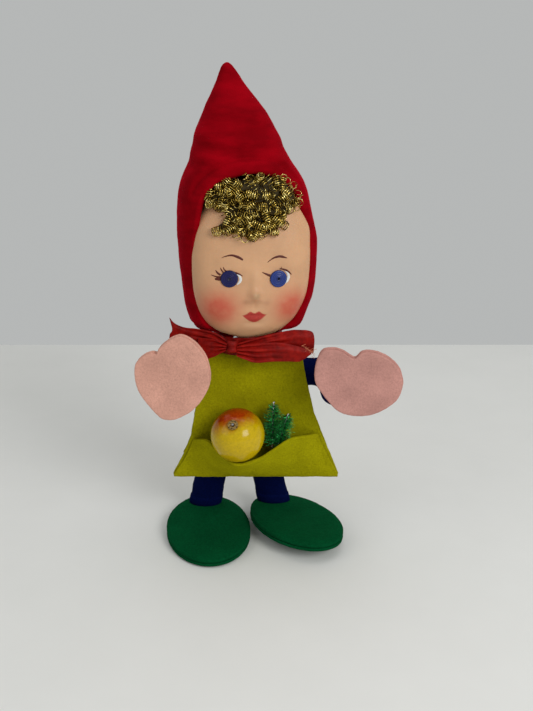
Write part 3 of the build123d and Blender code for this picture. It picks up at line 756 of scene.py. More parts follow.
# ---- hood ----
# height, middle sideways, half width, half depth
HOOD_RINGS = [
    (66.8, -2.5, 9.0, 9.0),
    (68.6, -2.5, 9.25, 9.25),
    (70.3, -2.5, 9.35, 9.4),
    (71.3, -2.6, 11.6, 11.2),
    (72.3, -2.7, 15.0, 14.2),
    (74.0, -2.75, 17.5, 16.8),
    (78.4, -2.5, 19.0, 18.6),
    (82.3, -2.15, 19.85, 19.4),
    (89.9, -2.1, 20.6, 20.2),
    (97.5, -2.15, 20.85, 20.5),
    (101.2, -2.45, 20.75, 20.4),
    (108.6, -3.2, 19.8, 19.6),
    (115.7, -3.75, 18.15, 18.4),
    (122.8, -4.65, 14.55, 15.0),
    (129.7, -5.5, 12.1, 12.2),
    (136.6, -6.1, 8.6, 8.8),
    (143.3, -7.1, 4.4, 4.6),
    (146.7, -7.55, 2.75, 2.8),
    (149.0, -7.9, 1.5, 1.5),
    (149.9, -7.95, 0.35, 0.35),
]
hood_table = curve(HOOD_RINGS, 240)


def hood_at(theta, z):
    """A point of the hood. theta is 0 at the front and grows towards the doll's left."""
    z = np.asarray(z, float)
    x0, a, b = (np.interp(z, hood_table[:, 0], hood_table[:, k]) for k in (1, 2, 3))
    y0 = NECK_Y - 0.6 * smoothstep(100, 118, z) + 1.8 * smoothstep(118, 150, z)
    # a superellipse, a little squarer than an oval
    power = 2.15
    s, c = np.sin(theta), -np.cos(theta)
    swell = (np.abs(s) ** power + np.abs(c) ** power) ** (-1 / power)
    return np.stack([x0 + a * swell * s, y0 + b * swell * c, z], -1)


# the opening's edge as (angle, height), from the neck up the doll's right side, over the arch
# and down its left side
OPENING = [
    (-0.66, 66.8), (-0.68, 69.0), (-0.70, 71.2), (-0.77, 73.6), (-0.84, 76.3), (-0.88, 79.3),
    (-0.90, 85.0), (-0.90, 92.2), (-0.85, 99.5), (-0.77, 106.8), (-0.72, 111.0), (-0.66, 114.2),
    (-0.55, 117.0), (-0.38, 119.2), (-0.05, 121.0), (0.33, 121.6), (0.69, 120.6), (0.90, 118.6),
    (1.03, 115.6), (1.11, 110.5), (1.15, 105.2), (1.15, 98.5), (1.15, 91.2), (1.15, 84.0),
    (1.13, 78.6), (1.08, 75.6), (0.96, 73.0), (0.78, 71.0), (0.68, 69.0), (0.66, 66.8),
]
# angles count as millimetres round the hood while the points are spaced
border = curve([(a * 18, z) for a, z in OPENING], 300) / (18, 1)
HOOD_COLS, HOOD_ROWS = len(border), 96
bottom, tip = HOOD_RINGS[0][0], HOOD_RINGS[-1][0]
# the far side of the sheet: up the seam at the back, once round the tip and down again
corners = [0, 0.35, 0.65, 1]
share = np.linspace(0, 1, HOOD_COLS)
back_angle = np.interp(share, corners, [-math.pi, -math.pi, math.pi, math.pi])
outer = np.stack([back_angle, np.interp(share, corners, [bottom, tip, tip, bottom])], -1)
steps = np.linspace(0, 1, HOOD_ROWS) ** 1.25
domain = border[None] * (1 - steps[:, None, None]) + outer[None] * steps[:, None, None]
shell = hood_at(domain[..., 0], domain[..., 1])
flat_shell = shell.reshape(-1, 3)
column = unit(np.gradient(shell, axis=1) + 1e-9)
across_rows = unit(np.gradient(shell, axis=0) + 1e-9)
normals = unit(np.cross(column, across_rows))
middle_x = np.interp(shell[..., 2], hood_table[:, 0], hood_table[:, 1])
middle_axis = np.stack([middle_x, np.full_like(middle_x, NECK_Y), shell[..., 2]], -1)
normals *= np.sign(np.sum(normals * (shell - middle_axis), -1, keepdims=True) + 1e-9)
theta, height = domain[..., 0], domain[..., 1]
from_rim = np.linalg.norm(shell - shell[0][None], axis=-1)
# padding swells away from the rim, soft creases lie over the arch and gathers sit at the neck
puff = 0.35 * smoothstep(0, 5, from_rim)
waves = np.sin((height - 116) * 1.05 + 1.3 * np.sin(theta * 1.4 + 0.5))
creases = 0.62 * waves * bump(height, 126.0, 5.5)
creases = creases + 0.45 * bump(height + 1.6 * np.sin(theta + 0.6), 137.0, 1.4)
creases = creases - 0.9 * bump(from_rim, 3.4, 1.0) * smoothstep(112, 116, height)
creases = creases * smoothstep(1.9, 0.5, np.abs(theta))
gathers = 0.55 * np.sin(theta * 17) * bump(height, 71.6, 2.4) * smoothstep(0, 3, from_rim)
lumps = noisy(flat_shell, 11.0, 4.0).reshape(theta.shape) * 0.35 * smoothstep(0, 6, from_rim)
small = noisy(flat_shell, 3.4, 8.0).reshape(theta.shape) * 0.07
taper = smoothstep(150.2, 143, height)
shell = shell + normals * ((puff + creases + gathers + lumps + small) * taper)[..., None]
# the rim is a soft roll that turns inwards round the mask
inward = -unit(np.gradient(shell, axis=0)[0])
rim_normal = normals[0]
ROLL_R = 1.05
roll = [
    shell[0] + inward * ROLL_R * math.sin(angle) - rim_normal * ROLL_R * (1 - math.cos(angle))
    for angle in np.linspace(0, math.pi * 1.05, 10)[1:]
]
roll += [roll[-1] - inward * depth - rim_normal * 0.15 * depth for depth in (0.8, 1.8, 3.0)]
rolled = np.vstack([np.stack(roll[::-1]), shell])
hood_faces = grid_faces(len(rolled), HOOD_COLS)
hood = raw("hood_velvet", rolled.reshape(-1, 3), hood_faces, red_velvet, closed=False)
# sew the seam and the tip
work = bmesh.new()
work.from_mesh(hood.data)
bmesh.ops.remove_doubles(work, verts=work.verts, dist=0.06 * MM)
bmesh.ops.dissolve_degenerate(work, edges=work.edges, dist=0.01 * MM)
bmesh.ops.recalc_face_normals(work, faces=work.faces)
work.to_mesh(hood.data)
work.free()
solid = hood.modifiers.new("thick", "SOLIDIFY")
solid.thickness = 0.7 * MM
solid.offset = -1
settle(hood)
ruffle(hood, (0.05, 0.8, 3.0))
place(hood, "head", "red_velvet", "hood", "hood_stuffing")


# ---- hair ----
HAIR_RING = [
    (-13.3, 44.2), (-11.0, 42.9), (-8.6, 41.4), (-9.0, 39.4), (-11.0, 37.6), (-9.8, 36.2),
    (-5.0, 35.8), (-0.1, 34.6), (5.4, 36.1), (9.0, 39.4), (13.2, 43.6), (12.4, 47.2), (8.4, 51.0),
    (1.4, 51.8), (-5.0, 51.0), (-9.8, 50.4), (-12.2, 48.2),
]
HAIR_SIDES, HAIR_RINGS = 120, 24
hair_ring = curve(HAIR_RING, HAIR_SIDES, closed=True)
HAIR_MIDDLE = np.array([0.5, 43.5])


def hair_point(u, v, lift):
    """A point over the mask's forehead and the crown behind it."""
    under = np.maximum(face_depth(u, v), 14.4 - 0.012 * np.square(u))
    return head_point(u, v, under + lift)


base_ring = hair_ring * 0.94 + HAIR_MIDDLE * 0.06
flat_hair, hair_faces = polar_grid(base_ring, HAIR_MIDDLE, HAIR_RINGS)
from_middle = np.concatenate([[0], np.repeat(np.arange(1, HAIR_RINGS + 1) / HAIR_RINGS, HAIR_SIDES)])
crown = 1.1 * (1 - from_middle**4)
cap_front = hair_point(flat_hair[:, 0], flat_hair[:, 1], 0.1 + crown)
cap_back = hair_point(flat_hair[:, 0], flat_hair[:, 1], -1.6)
n_cap = len(flat_hair)
cap_faces = hair_faces + [tuple(i + n_cap for i in f) for f in hair_faces]
cap_faces += bridge(n_cap - HAIR_SIDES, 2 * n_cap - HAIR_SIDES, HAIR_SIDES)
# a dark cap under the coils: painted shadow for the gaps between them
shadowed = Look("tinsel_shadow", 0.7, Specular_IOR_Level=0.2)
dark = shadowed.noise(1.0)
shadowed.colour(shadowed.ramp(dark, (0.3, (0.012, 0.009, 0.003)), (0.7, (0.06, 0.040, 0.008))))
hair_shade_cap = raw("hair_shade_cap", np.vstack([cap_front, cap_back]), cap_faces, shadowed.material)
place(hair_shade_cap, "head", "gold_tinsel", "hair_tinsel")


def spring(centre, along, length, radius, turns, wire, seed_turn):
    """A little coil of flat wire, as a path and its tangent frame."""
    along = unit(along)
    side = unit(np.cross(along, [0.3, 0.9, 0.2]))
    other = np.cross(along, side)
    n = int(13 * turns)
    t = np.linspace(0, 1, n)
    angle = seed_turn + t * turns * 2 * np.pi
    wide = radius * (1 - 0.25 * np.abs(2 * t - 1) ** 3)
    path = centre + along * (t[:, None] - 0.5) * length
    path = path + wide[:, None] * (np.cos(angle)[:, None] * side + np.sin(angle)[:, None] * other)
    return tube(path, wire, sides=5, flat=wire * 0.55)


SPRINGS, SPRING_SPACING = 82, 1.42
# thin places in the clump as (sideways, up, half width, half height)
HAIR_GAPS = ((-3.0, 48.8, 2.2, 1.9), (1.2, 44.8, 1.6, 1.3))
springs = Heap()
placed = []
while len(placed) < SPRINGS:
    u, v = draw.uniform(-13.6, 13.6), draw.uniform(34.2, 52.2)
    inside = ring_share(u, v, hair_ring, HAIR_MIDDLE)
    gap = any(math.hypot((u - x) / a, (v - z) / b) < 1 for x, z, a, b in HAIR_GAPS)
    crowded = any(math.hypot(u - a, v - b) < SPRING_SPACING for a, b in placed)
    if gap or crowded or inside > 0.99:
        continue
    placed.append((u, v))
    # every third coil is a loose one of thinner wire
    tight = len(placed) % 3
    centre = hair_point(u, v, 1.0 + 1.3 * draw.random() * (1 - inside**3))
    lean = draw.uniform(-1, 1, 3) * (1, 0.8, 0.9)
    long = draw.uniform(2.4, 4.0) if tight else draw.uniform(2.6, 4.4)
    wide = draw.uniform(1.05, 1.5) if tight else draw.uniform(0.9, 1.5)
    pitch, wire = (0.66, 0.21) if tight else (1.15, 0.14)
    springs.add(*spring(centre, lean, long, wide, long / pitch, wire, draw.uniform(0, 6)))
# loose loops stray over the rim and the forehead
STRAYS = [
    (9.6, 50.6), (11.6, 49.2), (13.0, 46.4), (13.4, 44.2), (8.6, 51.6), (-10.6, 36.6), (-3.0, 35.0),
    (12.6, 42.6),
]
for u, v in STRAYS:
    centre = hair_point(u, v, draw.uniform(1.9, 2.8))
    lean = (draw.uniform(-0.4, 0.4), -1, 0.2)
    springs.add(*spring(centre, lean, 0.9, draw.uniform(0.8, 1.3), 1.6, 0.1, draw.uniform(0, 6)))
gold = Look("gold_tinsel", 0.18, Metallic=1.0)
# the noise paints the gold: pale gold as painted highlights, dark brown as painted shade between the wires
glint = gold.noise(1.3, 3.0)
gold_in_shade, mid_gold, gold_highlight = (0.06, 0.036, 0.006), (0.42, 0.29, 0.05), (1.0, 0.86, 0.36)
gold.colour(gold.ramp(glint, (0.38, gold_in_shade), (0.52, mid_gold), (0.68, gold_highlight)))
gold.bumps((gold.noise(0.15, 2.0), 0.3, 0.03))
place(springs.piece("hair_springs", gold.material), "head", "gold_tinsel")


# ---- soft bodies of rings ----
def lathe(rings, axis, sides=72, flute=0.0, flutes=0):
    """A closed body from rings of (height, sideways from the axis, half width, half depth)."""
    table = curve(rings, max(24, 6 * len(rings)))
    x, y = circle(sides)
    wave = 1 + flute * np.sin(flutes * np.linspace(0, 2 * np.pi, sides, endpoint=False))[:, None]
    layers = [
        np.hstack([axis[0] + aside + a * wave * x, axis[1] + b * wave * y, np.full((sides, 1), z)])
        for z, aside, a, b in table
    ]
    ends = [(axis[0] + table[k][1], axis[1], table[k][0]) for k in (0, -1)]
    return capped(layers, *ends)


NECK_AXIS, TRUNK_AXIS = (NECK_X, NECK_Y), (NECK_X, 0.0)
head_rings = [
    (68.2, 0, 5.0, 5.0),
    (69.4, 0, 6.9, 6.9),
    (70.6, 0, 8.4, 8.4),
    (71.5, 0, 10.4, 10.0),
    (72.5, -0.1, 12.6, 11.6),
    (74.5, -0.1, 13.7, 12.6),
    (79.0, 0, 14.2, 13.6),
    (84.0, 0, 14.8, 14.4),
    (94.0, 0, 15.2, 15.0),
    (104.0, 0, 13.2, 13.2),
    (110.0, 0, 9.2, 9.2),
    (113.6, 0, 2.0, 2.0),
]
head = raw("head_stuffed", *lathe(head_rings, NECK_AXIS, 240, 0.028, 30), peach_cotton)
ruffle(head, (0.25, 4.0, 2.0))
place(head, "head", "head_cloth", "head_cloth", "head_stuffing")
neck_rings = [(63.4, 0, 3.1, 3.1), (64.4, 0, 3.5, 3.5), (66.3, 0, 3.4, 3.4), (66.9, 0, 2.9, 2.9)]
neck = raw("neck_wadding", *lathe(neck_rings, NECK_AXIS, 48, 0.03, 9), wadding)
place(neck, "neck", "wadding", "neck_padding")

trunk_rings = [
    (34.8, -1.5, 7.8, 3.9),
    (35.6, -1.5, 9.3, 5.3),
    (40.0, -1.5, 9.8, 5.7),
    (45.0, -1.3, 9.4, 5.5),
    (49.0, -0.3, 6.0, 5.0),
    (56.0, 0, 5.0, 4.7),
    (62.4, 0, 4.7, 4.5),
    (63.1, 0, 3.6, 3.4),
]
trunk = raw("trunk_navy", *lathe(trunk_rings, TRUNK_AXIS, 96), navy_felt)
ruffle(trunk, (0.25, 4.0, 1.0), (0.08, 1.2, 2.0))
place(trunk, "torso", "navy_felt", "torso_cover", "torso_padding")


# ---- ribbon ----
def lattice(rows, count_a, count_b):
    """A grid through given rows of points, smooth both ways."""
    lines = np.stack([curve(r, count_b) for r in rows])
    return np.stack([curve(lines[:, j], count_a) for j in range(count_b)], axis=1)


def ribbon(name, rows, count=(40, 44), thick=0.28, waves=0.1, pleat=0.5):
    """A strip of satin through rows of points from one long edge to the other."""
    grid = lattice(rows, *count)
    # pleats fan out from the knot
    over, out = np.meshgrid(np.linspace(0, 1, count[0]), np.linspace(0, 1, count[1]), indexing="ij")
    grid[..., 1] -= pleat * np.sin(over * 21 + 1.3 * out) * bump(out, 0.12, 0.42)
    layers = ((waves, 2.2, 3.0), (0.03, 0.6, 5.0))
    strip = cloth(name, grid.reshape(-1, 3), grid_faces(*count), red_satin, thick, 1, layers)
    place(strip, "torso", "red_satin", *(["ribbon_bow"] if name == "ribbon_knot" else []))


# (height, radius) of the folds of the band round the neck, which is under the chin
BAND_FOLDS = [
    (64.3, 10.25), (65.1, 10.5), (66.3, 10.35), (67.4, 10.6), (68.6, 10.4), (69.4, 10.55), (70.0, 10.4),
]
BAND_SIDES, BAND_ROWS = 180, 26
turn = np.linspace(0, 2 * np.pi, BAND_SIDES + 1)
band_rows = []
for z, radius in BAND_FOLDS:
    spread = radius + 0.16 * np.sin(9 * turn + z) + 0.1 * np.sin(17 * turn + 2 * z)
    x, y = NECK_X + spread * np.sin(turn), NECK_Y - spread * np.cos(turn)
    band_rows.append(np.stack([x, y, z + 0.25 * np.sin(3 * turn)], -1))
band_rows = np.stack(band_rows)
band_grid = np.stack([curve(band_rows[:, j], BAND_ROWS) for j in range(BAND_SIDES)], axis=1)
band_faces = grid_faces(BAND_ROWS, BAND_SIDES, wrap=True)
band = cloth(
    "ribbon_band_satin", band_grid.reshape(-1, 3), band_faces, red_satin, 0.3, 0, ((0.04, 0.8, 2.0),)
)
place(band, "torso", "red_satin", "ribbon_band")

# each strip's rows of points, from its upper edge to its lower edge and outwards from the knot
RIBBONS = {
    "ribbon_tail_right": [
        [(-8.4, -14.8, 69.9), (-12.1, -14.9, 72.5), (-17.5, -14.2, 73.5), (-21.7, -13.4, 73.7),
         (-24.3, -13.4, 75.0), (-25.9, -13.3, 76.8)],
        [(-8.5, -15.2, 68.9), (-12.6, -14.9, 70.6), (-17.6, -14.2, 71.6), (-21.8, -13.8, 72.3),
         (-25.2, -13.6, 73.0)],
        [(-8.6, -14.9, 68.2), (-12.8, -14.3, 68.6), (-17.6, -14.0, 69.6), (-21.9, -13.6, 70.6),
         (-25.9, -13.5, 71.6)],
        [(-8.6, -15.3, 67.6), (-12.8, -14.8, 67.2), (-17.6, -14.1, 68.0), (-22.0, -13.8, 69.0),
         (-26.1, -13.6, 70.1)],
    ],
    "ribbon_fold_right": [
        [(-8.5, -15.9, 69.3), (-11.4, -15.7, 70.4), (-14.6, -15.2, 70.8), (-17.3, -14.7, 70.7)],
        [(-8.6, -16.0, 68.4), (-11.4, -16.1, 68.6), (-14.6, -15.7, 68.4), (-17.4, -15.1, 68.2)],
        [(-8.7, -15.6, 67.7), (-11.2, -15.8, 66.9), (-14.2, -15.7, 66.3), (-17.0, -15.2, 66.1)],
        [(-8.9, -15.9, 67.2), (-11.2, -15.9, 65.8), (-12.6, -15.8, 64.9), (-14.8, -15.3, 63.9)],
    ],
    "ribbon_loop_left": [
        [(-5.6, -15.0, 68.8), (-2.7, -14.7, 69.8), (3.0, -14.4, 71.4), (10.6, -14.2, 73.0),
         (14.6, -14.0, 73.0), (17.3, -13.8, 72.4), (18.0, -13.9, 70.8)],
        [(-5.6, -14.6, 68.2), (-2.7, -14.9, 68.6), (3.0, -15.0, 69.7), (10.6, -14.7, 70.9),
         (14.8, -14.6, 71.1), (17.6, -14.2, 70.4), (18.1, -14.0, 69.2)],
        [(-5.6, -14.8, 67.6), (-2.7, -14.5, 67.2), (3.0, -14.6, 67.7), (10.6, -14.5, 68.6),
         (14.8, -14.5, 68.7), (17.4, -14.3, 68.2), (18.0, -14.2, 67.4)],
        [(-5.6, -14.7, 66.9), (-2.7, -14.4, 66.0), (3.0, -14.3, 65.6), (10.6, -14.2, 66.1),
         (14.8, -14.2, 66.3), (17.2, -14.3, 65.9), (17.8, -14.3, 65.6)],
    ],
    "ribbon_tail_left": [
        [(-5.7, -15.4, 68.3), (-0.7, -15.5, 69.2), (6.8, -15.6, 69.6), (13.7, -15.4, 68.1),
         (17.5, -15.3, 66.4)],
        [(-5.7, -15.9, 67.6), (-0.7, -16.1, 67.6), (6.8, -16.2, 67.8), (13.7, -15.9, 66.6),
         (17.0, -15.6, 65.7)],
        [(-5.7, -15.5, 66.6), (-0.9, -15.7, 65.6), (6.9, -15.9, 65.8), (13.7, -15.7, 65.0),
         (15.8, -15.6, 64.7)],
        [(-5.7, -15.7, 65.4), (-2.9, -15.6, 64.2), (0.2, -15.5, 63.1), (6.9, -15.5, 63.4),
         (13.7, -15.4, 63.3)],
    ],
}
for name, rows in RIBBONS.items():
    ribbon(name, rows)
knot_rows = [
    [(-8.9, -14.0, 70.1), (-8.4, -15.4, 70.2), (-7.1, -16.2, 70.1), (-5.8, -15.6, 69.9), (-5.2, -14.2, 69.8)],
    [(-9.1, -14.0, 69.0), (-8.4, -16.0, 69.1), (-7.1, -16.7, 69.1), (-5.7, -16.1, 69.0), (-5.0, -14.2, 68.8)],
    [(-8.9, -14.0, 68.0), (-8.2, -15.8, 68.1), (-7.1, -16.5, 68.2), (-5.8, -15.8, 67.9), (-5.1, -14.2, 67.8)],
    [(-9.1, -14.0, 67.2), (-8.4, -16.1, 67.2), (-7.1, -16.7, 67.1), (-5.7, -16.0, 67.0), (-5.0, -14.2, 67.1)],
    [(-8.9, -14.0, 66.7), (-8.4, -15.4, 66.5), (-7.1, -16.1, 66.4), (-5.8, -15.4, 66.3), (-5.3, -14.2, 66.4)],
]
ribbon("ribbon_knot", knot_rows, (24, 24), 0.3, 0.05, 0.0)
FRAYS = 24
frays = Heap()
for k in range(FRAYS):
    x = 13.9 + 3.9 * k / (FRAYS - 1)
    z = 68.4 - 2.0 * k / (FRAYS - 1) - (1.4 if k % 3 == 0 else 0)
    away = np.array([draw.uniform(0.2, 1.0), draw.uniform(-0.6, 0.1), draw.uniform(-0.6, 0.9)])
    start = np.array([min(x, 17.2), -15.45, z])
    path = start + unit(away) * np.linspace(0, draw.uniform(0.8, 1.9), 6)[:, None]
    path[:, 2] -= 0.25 * np.linspace(0, 1, 6) ** 2
    frays.add(*tube(path, 0.055, sides=5))
thread = Look("frayed_thread", 0.6, Specular_IOR_Level=0.3)
thread.colour(thread.ramp(thread.noise(1.0), (0.3, (0.55, 0.13, 0.06)), (0.7, (0.75, 0.30, 0.16))))
place(frays.piece("ribbon_frays", thread.material), "torso", "red_satin")


# ---- tunic ----
# (height, half width) of the front panel, on the doll's right and on its left
RIGHT_EDGE = [
    (21.6, 27.3), (24.5, 25.9), (28.0, 24.2), (31.0, 22.6), (34.4, 21.1), (43.2, 19.6), (50.0, 17.9),
    (60.8, 15.1), (64.0, 14.3),
]
LEFT_EDGE = [
    (21.6, 27.3), (28.0, 24.8), (33.7, 22.2), (37.0, 20.6), (46.5, 17.9), (52.0, 16.7),
    (60.8, 15.0), (64.0, 14.3),
]


def half_width(z, across):
    """The panel's half width at a height. across is below 0 on the doll's right."""
    left = np.interp(z, *zip(*LEFT_EDGE))
    return np.where(np.asarray(across) > 0, left, np.interp(z, *zip(*RIGHT_EDGE)))


# the pocket's rim as (sideways, height) and as (sideways, front to back)
POCKET_RIM = [
    (-22.4, 34.6), (-20.5, 35.3), (-16.9, 36.7), (-11.4, 33.4), (-5.4, 31.4), (1.6, 33.2), (7.0, 35.8),
    (13.0, 38.0), (20.5, 37.1), (22.4, 36.6),
]
RIM_DEPTH = [
    (-22.4, -9.2), (-20, -10.4), (-16, -13.4), (-10, -18.4), (-5.4, -20.6), (0, -20.2), (4.5, -18.8),
    (9, -16.8), (13, -14.4), (18, -11.4), (22.4, -9.2),
]
rim_height, rim_depth = curve(POCKET_RIM, 90), curve(RIM_DEPTH, 90)
ACROSS, PANEL_ROWS, POCKET_ROWS, COLLAR_ROWS = 112, 92, 46, 14
NECK_HOLE, NECK_HALF, SHOULDER_HALF = 6.0, 9.6, 14.3
SHOULDER_Z, PANEL_TOP, HEM_Z = 63.5, 63.1, 22.1
PANEL_Y, HEM_HALF, RIM_HALF, FOLD = 8.0, 27.1, 22.0, 0.62
s_across = np.linspace(-1, 1, ACROSS)


def panel_rows(sign, hem=1.0):
    """Rows from the shoulder seam over the top edge and down to the hem. sign is -1 in front."""
    rows = []
    for t in np.linspace(0, 1, COLLAR_ROWS, endpoint=False):
        x = s_across * (SHOULDER_HALF * t + NECK_HALF * (1 - t)) + NECK_X * (1 - t)
        hole = np.sqrt(np.maximum(0.01, NECK_HOLE**2 - (x - NECK_X) ** 2))
        far = np.where(np.abs(x - NECK_X) < NECK_HOLE, hole, 0.12)
        depth = far * (1 - t) + (PANEL_Y - 0.6) * t
        rows.append(np.stack([x, sign * depth, np.full(ACROSS, SHOULDER_Z - 0.15 * t**6)], -1))
    for z in np.linspace(PANEL_TOP, HEM_Z, PANEL_ROWS):
        x = s_across * half_width(z, s_across) * (1 + (hem - 1) * smoothstep(60, 25, z))
        sway = 0.21 * np.sin(x * 0.19 + 0.06 * z) * smoothstep(62, 40, z)
        y = sign * (PANEL_Y - 0.2 + 0.35 * smoothstep(PANEL_TOP, 61.5, z)) + sway
        rows.append(np.stack([x, y, np.full(ACROSS, z)], -1))
    return rows


front_rows = panel_rows(-1)
for turn_at in np.linspace(0, math.pi, 8)[1:-1]:
    # the hem folds forwards and up
    x = s_across * (HEM_HALF - 0.35 * math.sin(turn_at / 2))
    y = np.full(ACROSS, -PANEL_Y - FOLD * (1 - math.cos(turn_at)))
    front_rows.append(np.stack([x, y, np.full(ACROSS, HEM_Z - 0.45 * math.sin(turn_at))], -1))
pocket_y = -PANEL_Y - 2 * FOLD
rim_z = np.interp(s_across * RIM_HALF, rim_height[:, 0], rim_height[:, 1])
for t in np.linspace(0, 1, POCKET_ROWS):
    z = HEM_Z + (rim_z - HEM_Z) * t
    x = s_across * (half_width(z, s_across) - 0.3 - 0.8 * smoothstep(0, 0.5, t))
    reach = np.interp(x, rim_depth[:, 0], rim_depth[:, 1]) - pocket_y
    belly = t**0.82 + 0.05 * np.sin(math.pi * t)
    y = pocket_y + reach * belly * smoothstep(1.0, 0.80, np.abs(s_across)) ** 0.5
    curl = -0.5 * smoothstep(0.93, 1.0, t) * smoothstep(1.0, 0.7, np.abs(s_across))
    front_rows.append(np.stack([x, y + curl, z], -1))


def panel(name, rows, seed):
    """A panel of the tunic, as thick felt."""
    layers = ((0.16, 4.5, seed), (0.07, 1.0, seed + 1.0))
    points, faces = np.vstack(rows), grid_faces(len(rows), ACROSS)
    return cloth(name, points, faces, olive_felt, 1.0, 1, layers)


tunic = panel("tunic_front_felt", front_rows, 1.0)
place(tunic, "torso", "olive_felt", "tunic_front")
tunic_back = panel("tunic_back_felt", panel_rows(1, 0.93), 3.0)
place(tunic_back, "torso", "olive_felt", "tunic_back")

# ---- apple and sprig ----
APPLE = np.array([-5.5, -17.1, 39.7])
EYE_AXIS = unit([-0.135, -0.71, 0.69])
APPLE_R = 8.45
APPLE_RINGS, APPLE_SIDES = 72, 96
eye_side = unit(np.cross(EYE_AXIS, [1.0, 0, 0]))
eye_other = np.cross(EYE_AXIS, eye_side)
x, y = circle(APPLE_SIDES)
around = x * eye_side + y * eye_other
rings = []
for angle in np.linspace(0.10, math.pi - 0.12, APPLE_RINGS):
    # a dent round the eye
    r = APPLE_R - 0.35 * math.exp(-((angle / 0.32) ** 2))
    rings.append(APPLE + EYE_AXIS * r * math.cos(angle) + around * r * math.sin(angle))
apple_points, apple_faces = capped(rings, APPLE + EYE_AXIS * 7.9, APPLE - EYE_AXIS * 8.4)
glaze = Look("apple_glaze", 0.16, Specular_IOR_Level=0.2, Coat_Weight=0.12, Coat_Roughness=0.03)
flecks = glaze.noise(0.7, 4.0, 0.6)
swirl = glaze.noise(4.0, 3.0, 0.6, stretch=(1, 1, 0.5))
red_side = glaze.math("ADD", glaze.attribute("ripe"), glaze.math("MULTIPLY", swirl, 0.34))
yellow = glaze.ramp(flecks, (0.3, (0.42, 0.29, 0.002)), (0.7, (0.56, 0.385, 0.002)))
blushed = glaze.ramp(flecks, (0.3, (0.25, 0.018, 0.001)), (0.7, (0.40, 0.055, 0.002)))
glaze.colour(glaze.mix(glaze.ramp(red_side, (0.38, (0, 0, 0)), (0.68, (1, 1, 1))), yellow, blushed))
glaze.bumps((swirl, 0.15, 0.2), (flecks, 0.1, 0.05))
apple = raw("apple_bead_glazed", apple_points, apple_faces, glaze.material)
ripe_axis = unit([-0.22, 0.15, 0.96])
store(apple, "ripe", (unit(apple_points - APPLE) @ ripe_axis) * 0.62 + 0.02)
place(apple, "torso", "apple_gloss", "apple_bead")

# each stem's foot and tip
STEMS = (((5.4, -13.4, 33.2), (5.8, -13.5, 49.4)), ((6.8, -13.5, 33.2), (10.3, -14.2, 45.6)))
NEEDLES = 680
needle_width = np.array([0.16, 0.21, 0.23, 0.21, 0.16, 0.06])
needles = Heap()
for k in range(NEEDLES):
    foot, tip = (np.array(p) for p in STEMS[k % 2])
    share_up = draw.uniform(0.10, 0.90)
    base = foot + (tip - foot) * share_up
    swing, rise = draw.uniform(0, 2 * np.pi), draw.uniform(0.0, 0.9)
    away = unit([math.cos(swing), 0.8 * math.sin(swing), rise])
    long = draw.uniform(2.5, 4.3) * (1.0 - 0.45 * max(0, share_up - 0.6) / 0.3)
    t = np.linspace(0, 1, len(needle_width))[:, None]
    path = base + away * long * t + np.array([0, 0, -0.8]) * t**2 * draw.uniform(0, 1)
    needles.add(*tube(path, needle_width, sides=4, flat=needle_width * 0.3))
tinsel_green = Look("green_tinsel", 0.3, Specular_IOR_Level=0.5, Metallic=0.6)
# the dark green is painted shade between the needles, and the pale green is painted glints
needle_shade_and_glints = (0.36, (0.001, 0.02, 0.004)), (0.5, (0.006, 0.15, 0.03)), (0.62, (0.07, 0.75, 0.17))
tinsel_green.colour(tinsel_green.ramp(tinsel_green.noise(0.6), *needle_shade_and_glints))
place(needles.piece("sprig_needles", tinsel_green.material), "torso", "green_tinsel", "sprig_tinsel")
wires = Heap()
for foot, tip in STEMS:
    t = np.linspace(0, 1, 44)[:, None]
    for phase in (0, math.pi):
        twist = 0.2 * np.hstack([np.sin(30 * t + phase), np.cos(30 * t + phase), 0 * t])
        wires.add(*tube(np.array(foot) + (np.array(tip) - foot) * t + twist, 0.16, sides=7))
place(wires.piece("sprig_wires", silver_tip), "torso", "wire", "sprig_stem")

# ---- arms and hands ----
HAND_RIGHT = [
    (-29.1, 68.3), (-30.2, 68.8), (-32.1, 68.2), (-33.9, 67.1), (-35.4, 65.1), (-35.8, 61.9),
    (-35.3, 58.2), (-34.2, 55.4), (-32.0, 52.1), (-29.7, 49.2), (-28.0, 47.7), (-25.5, 47.3),
    (-22.9, 47.9), (-19.0, 50.2), (-16.1, 53.5), (-14.2, 57.0), (-13.4, 60.7), (-13.7, 64.1),
    (-14.8, 67.7), (-17.0, 70.9), (-19.3, 72.9), (-21.7, 73.9), (-23.8, 73.5), (-26.1, 72.1),
    (-28.1, 70.3),
]
HAND_LEFT = [
    (29.8, 66.3), (31.5, 68.0), (33.5, 68.4), (36.5, 67.9), (39.4, 66.5), (41.7, 64.6),
    (43.3, 62.5), (44.0, 60.4), (44.5, 58.2), (44.1, 55.4), (43.0, 53.0), (40.6, 50.8),
    (37.7, 49.0), (34.9, 48.0), (31.6, 47.7), (27.9, 48.2), (24.8, 49.7), (22.1, 52.6),
    (20.0, 55.4), (18.3, 58.2), (17.8, 61.6), (18.4, 65.7), (19.5, 68.2), (21.1, 69.0),
    (23.7, 69.1), (26.1, 68.3), (28.2, 66.9),
]
ARM_Z = 54.5
ELBOW_R, SLEEVE_R = 5.5, 4.55
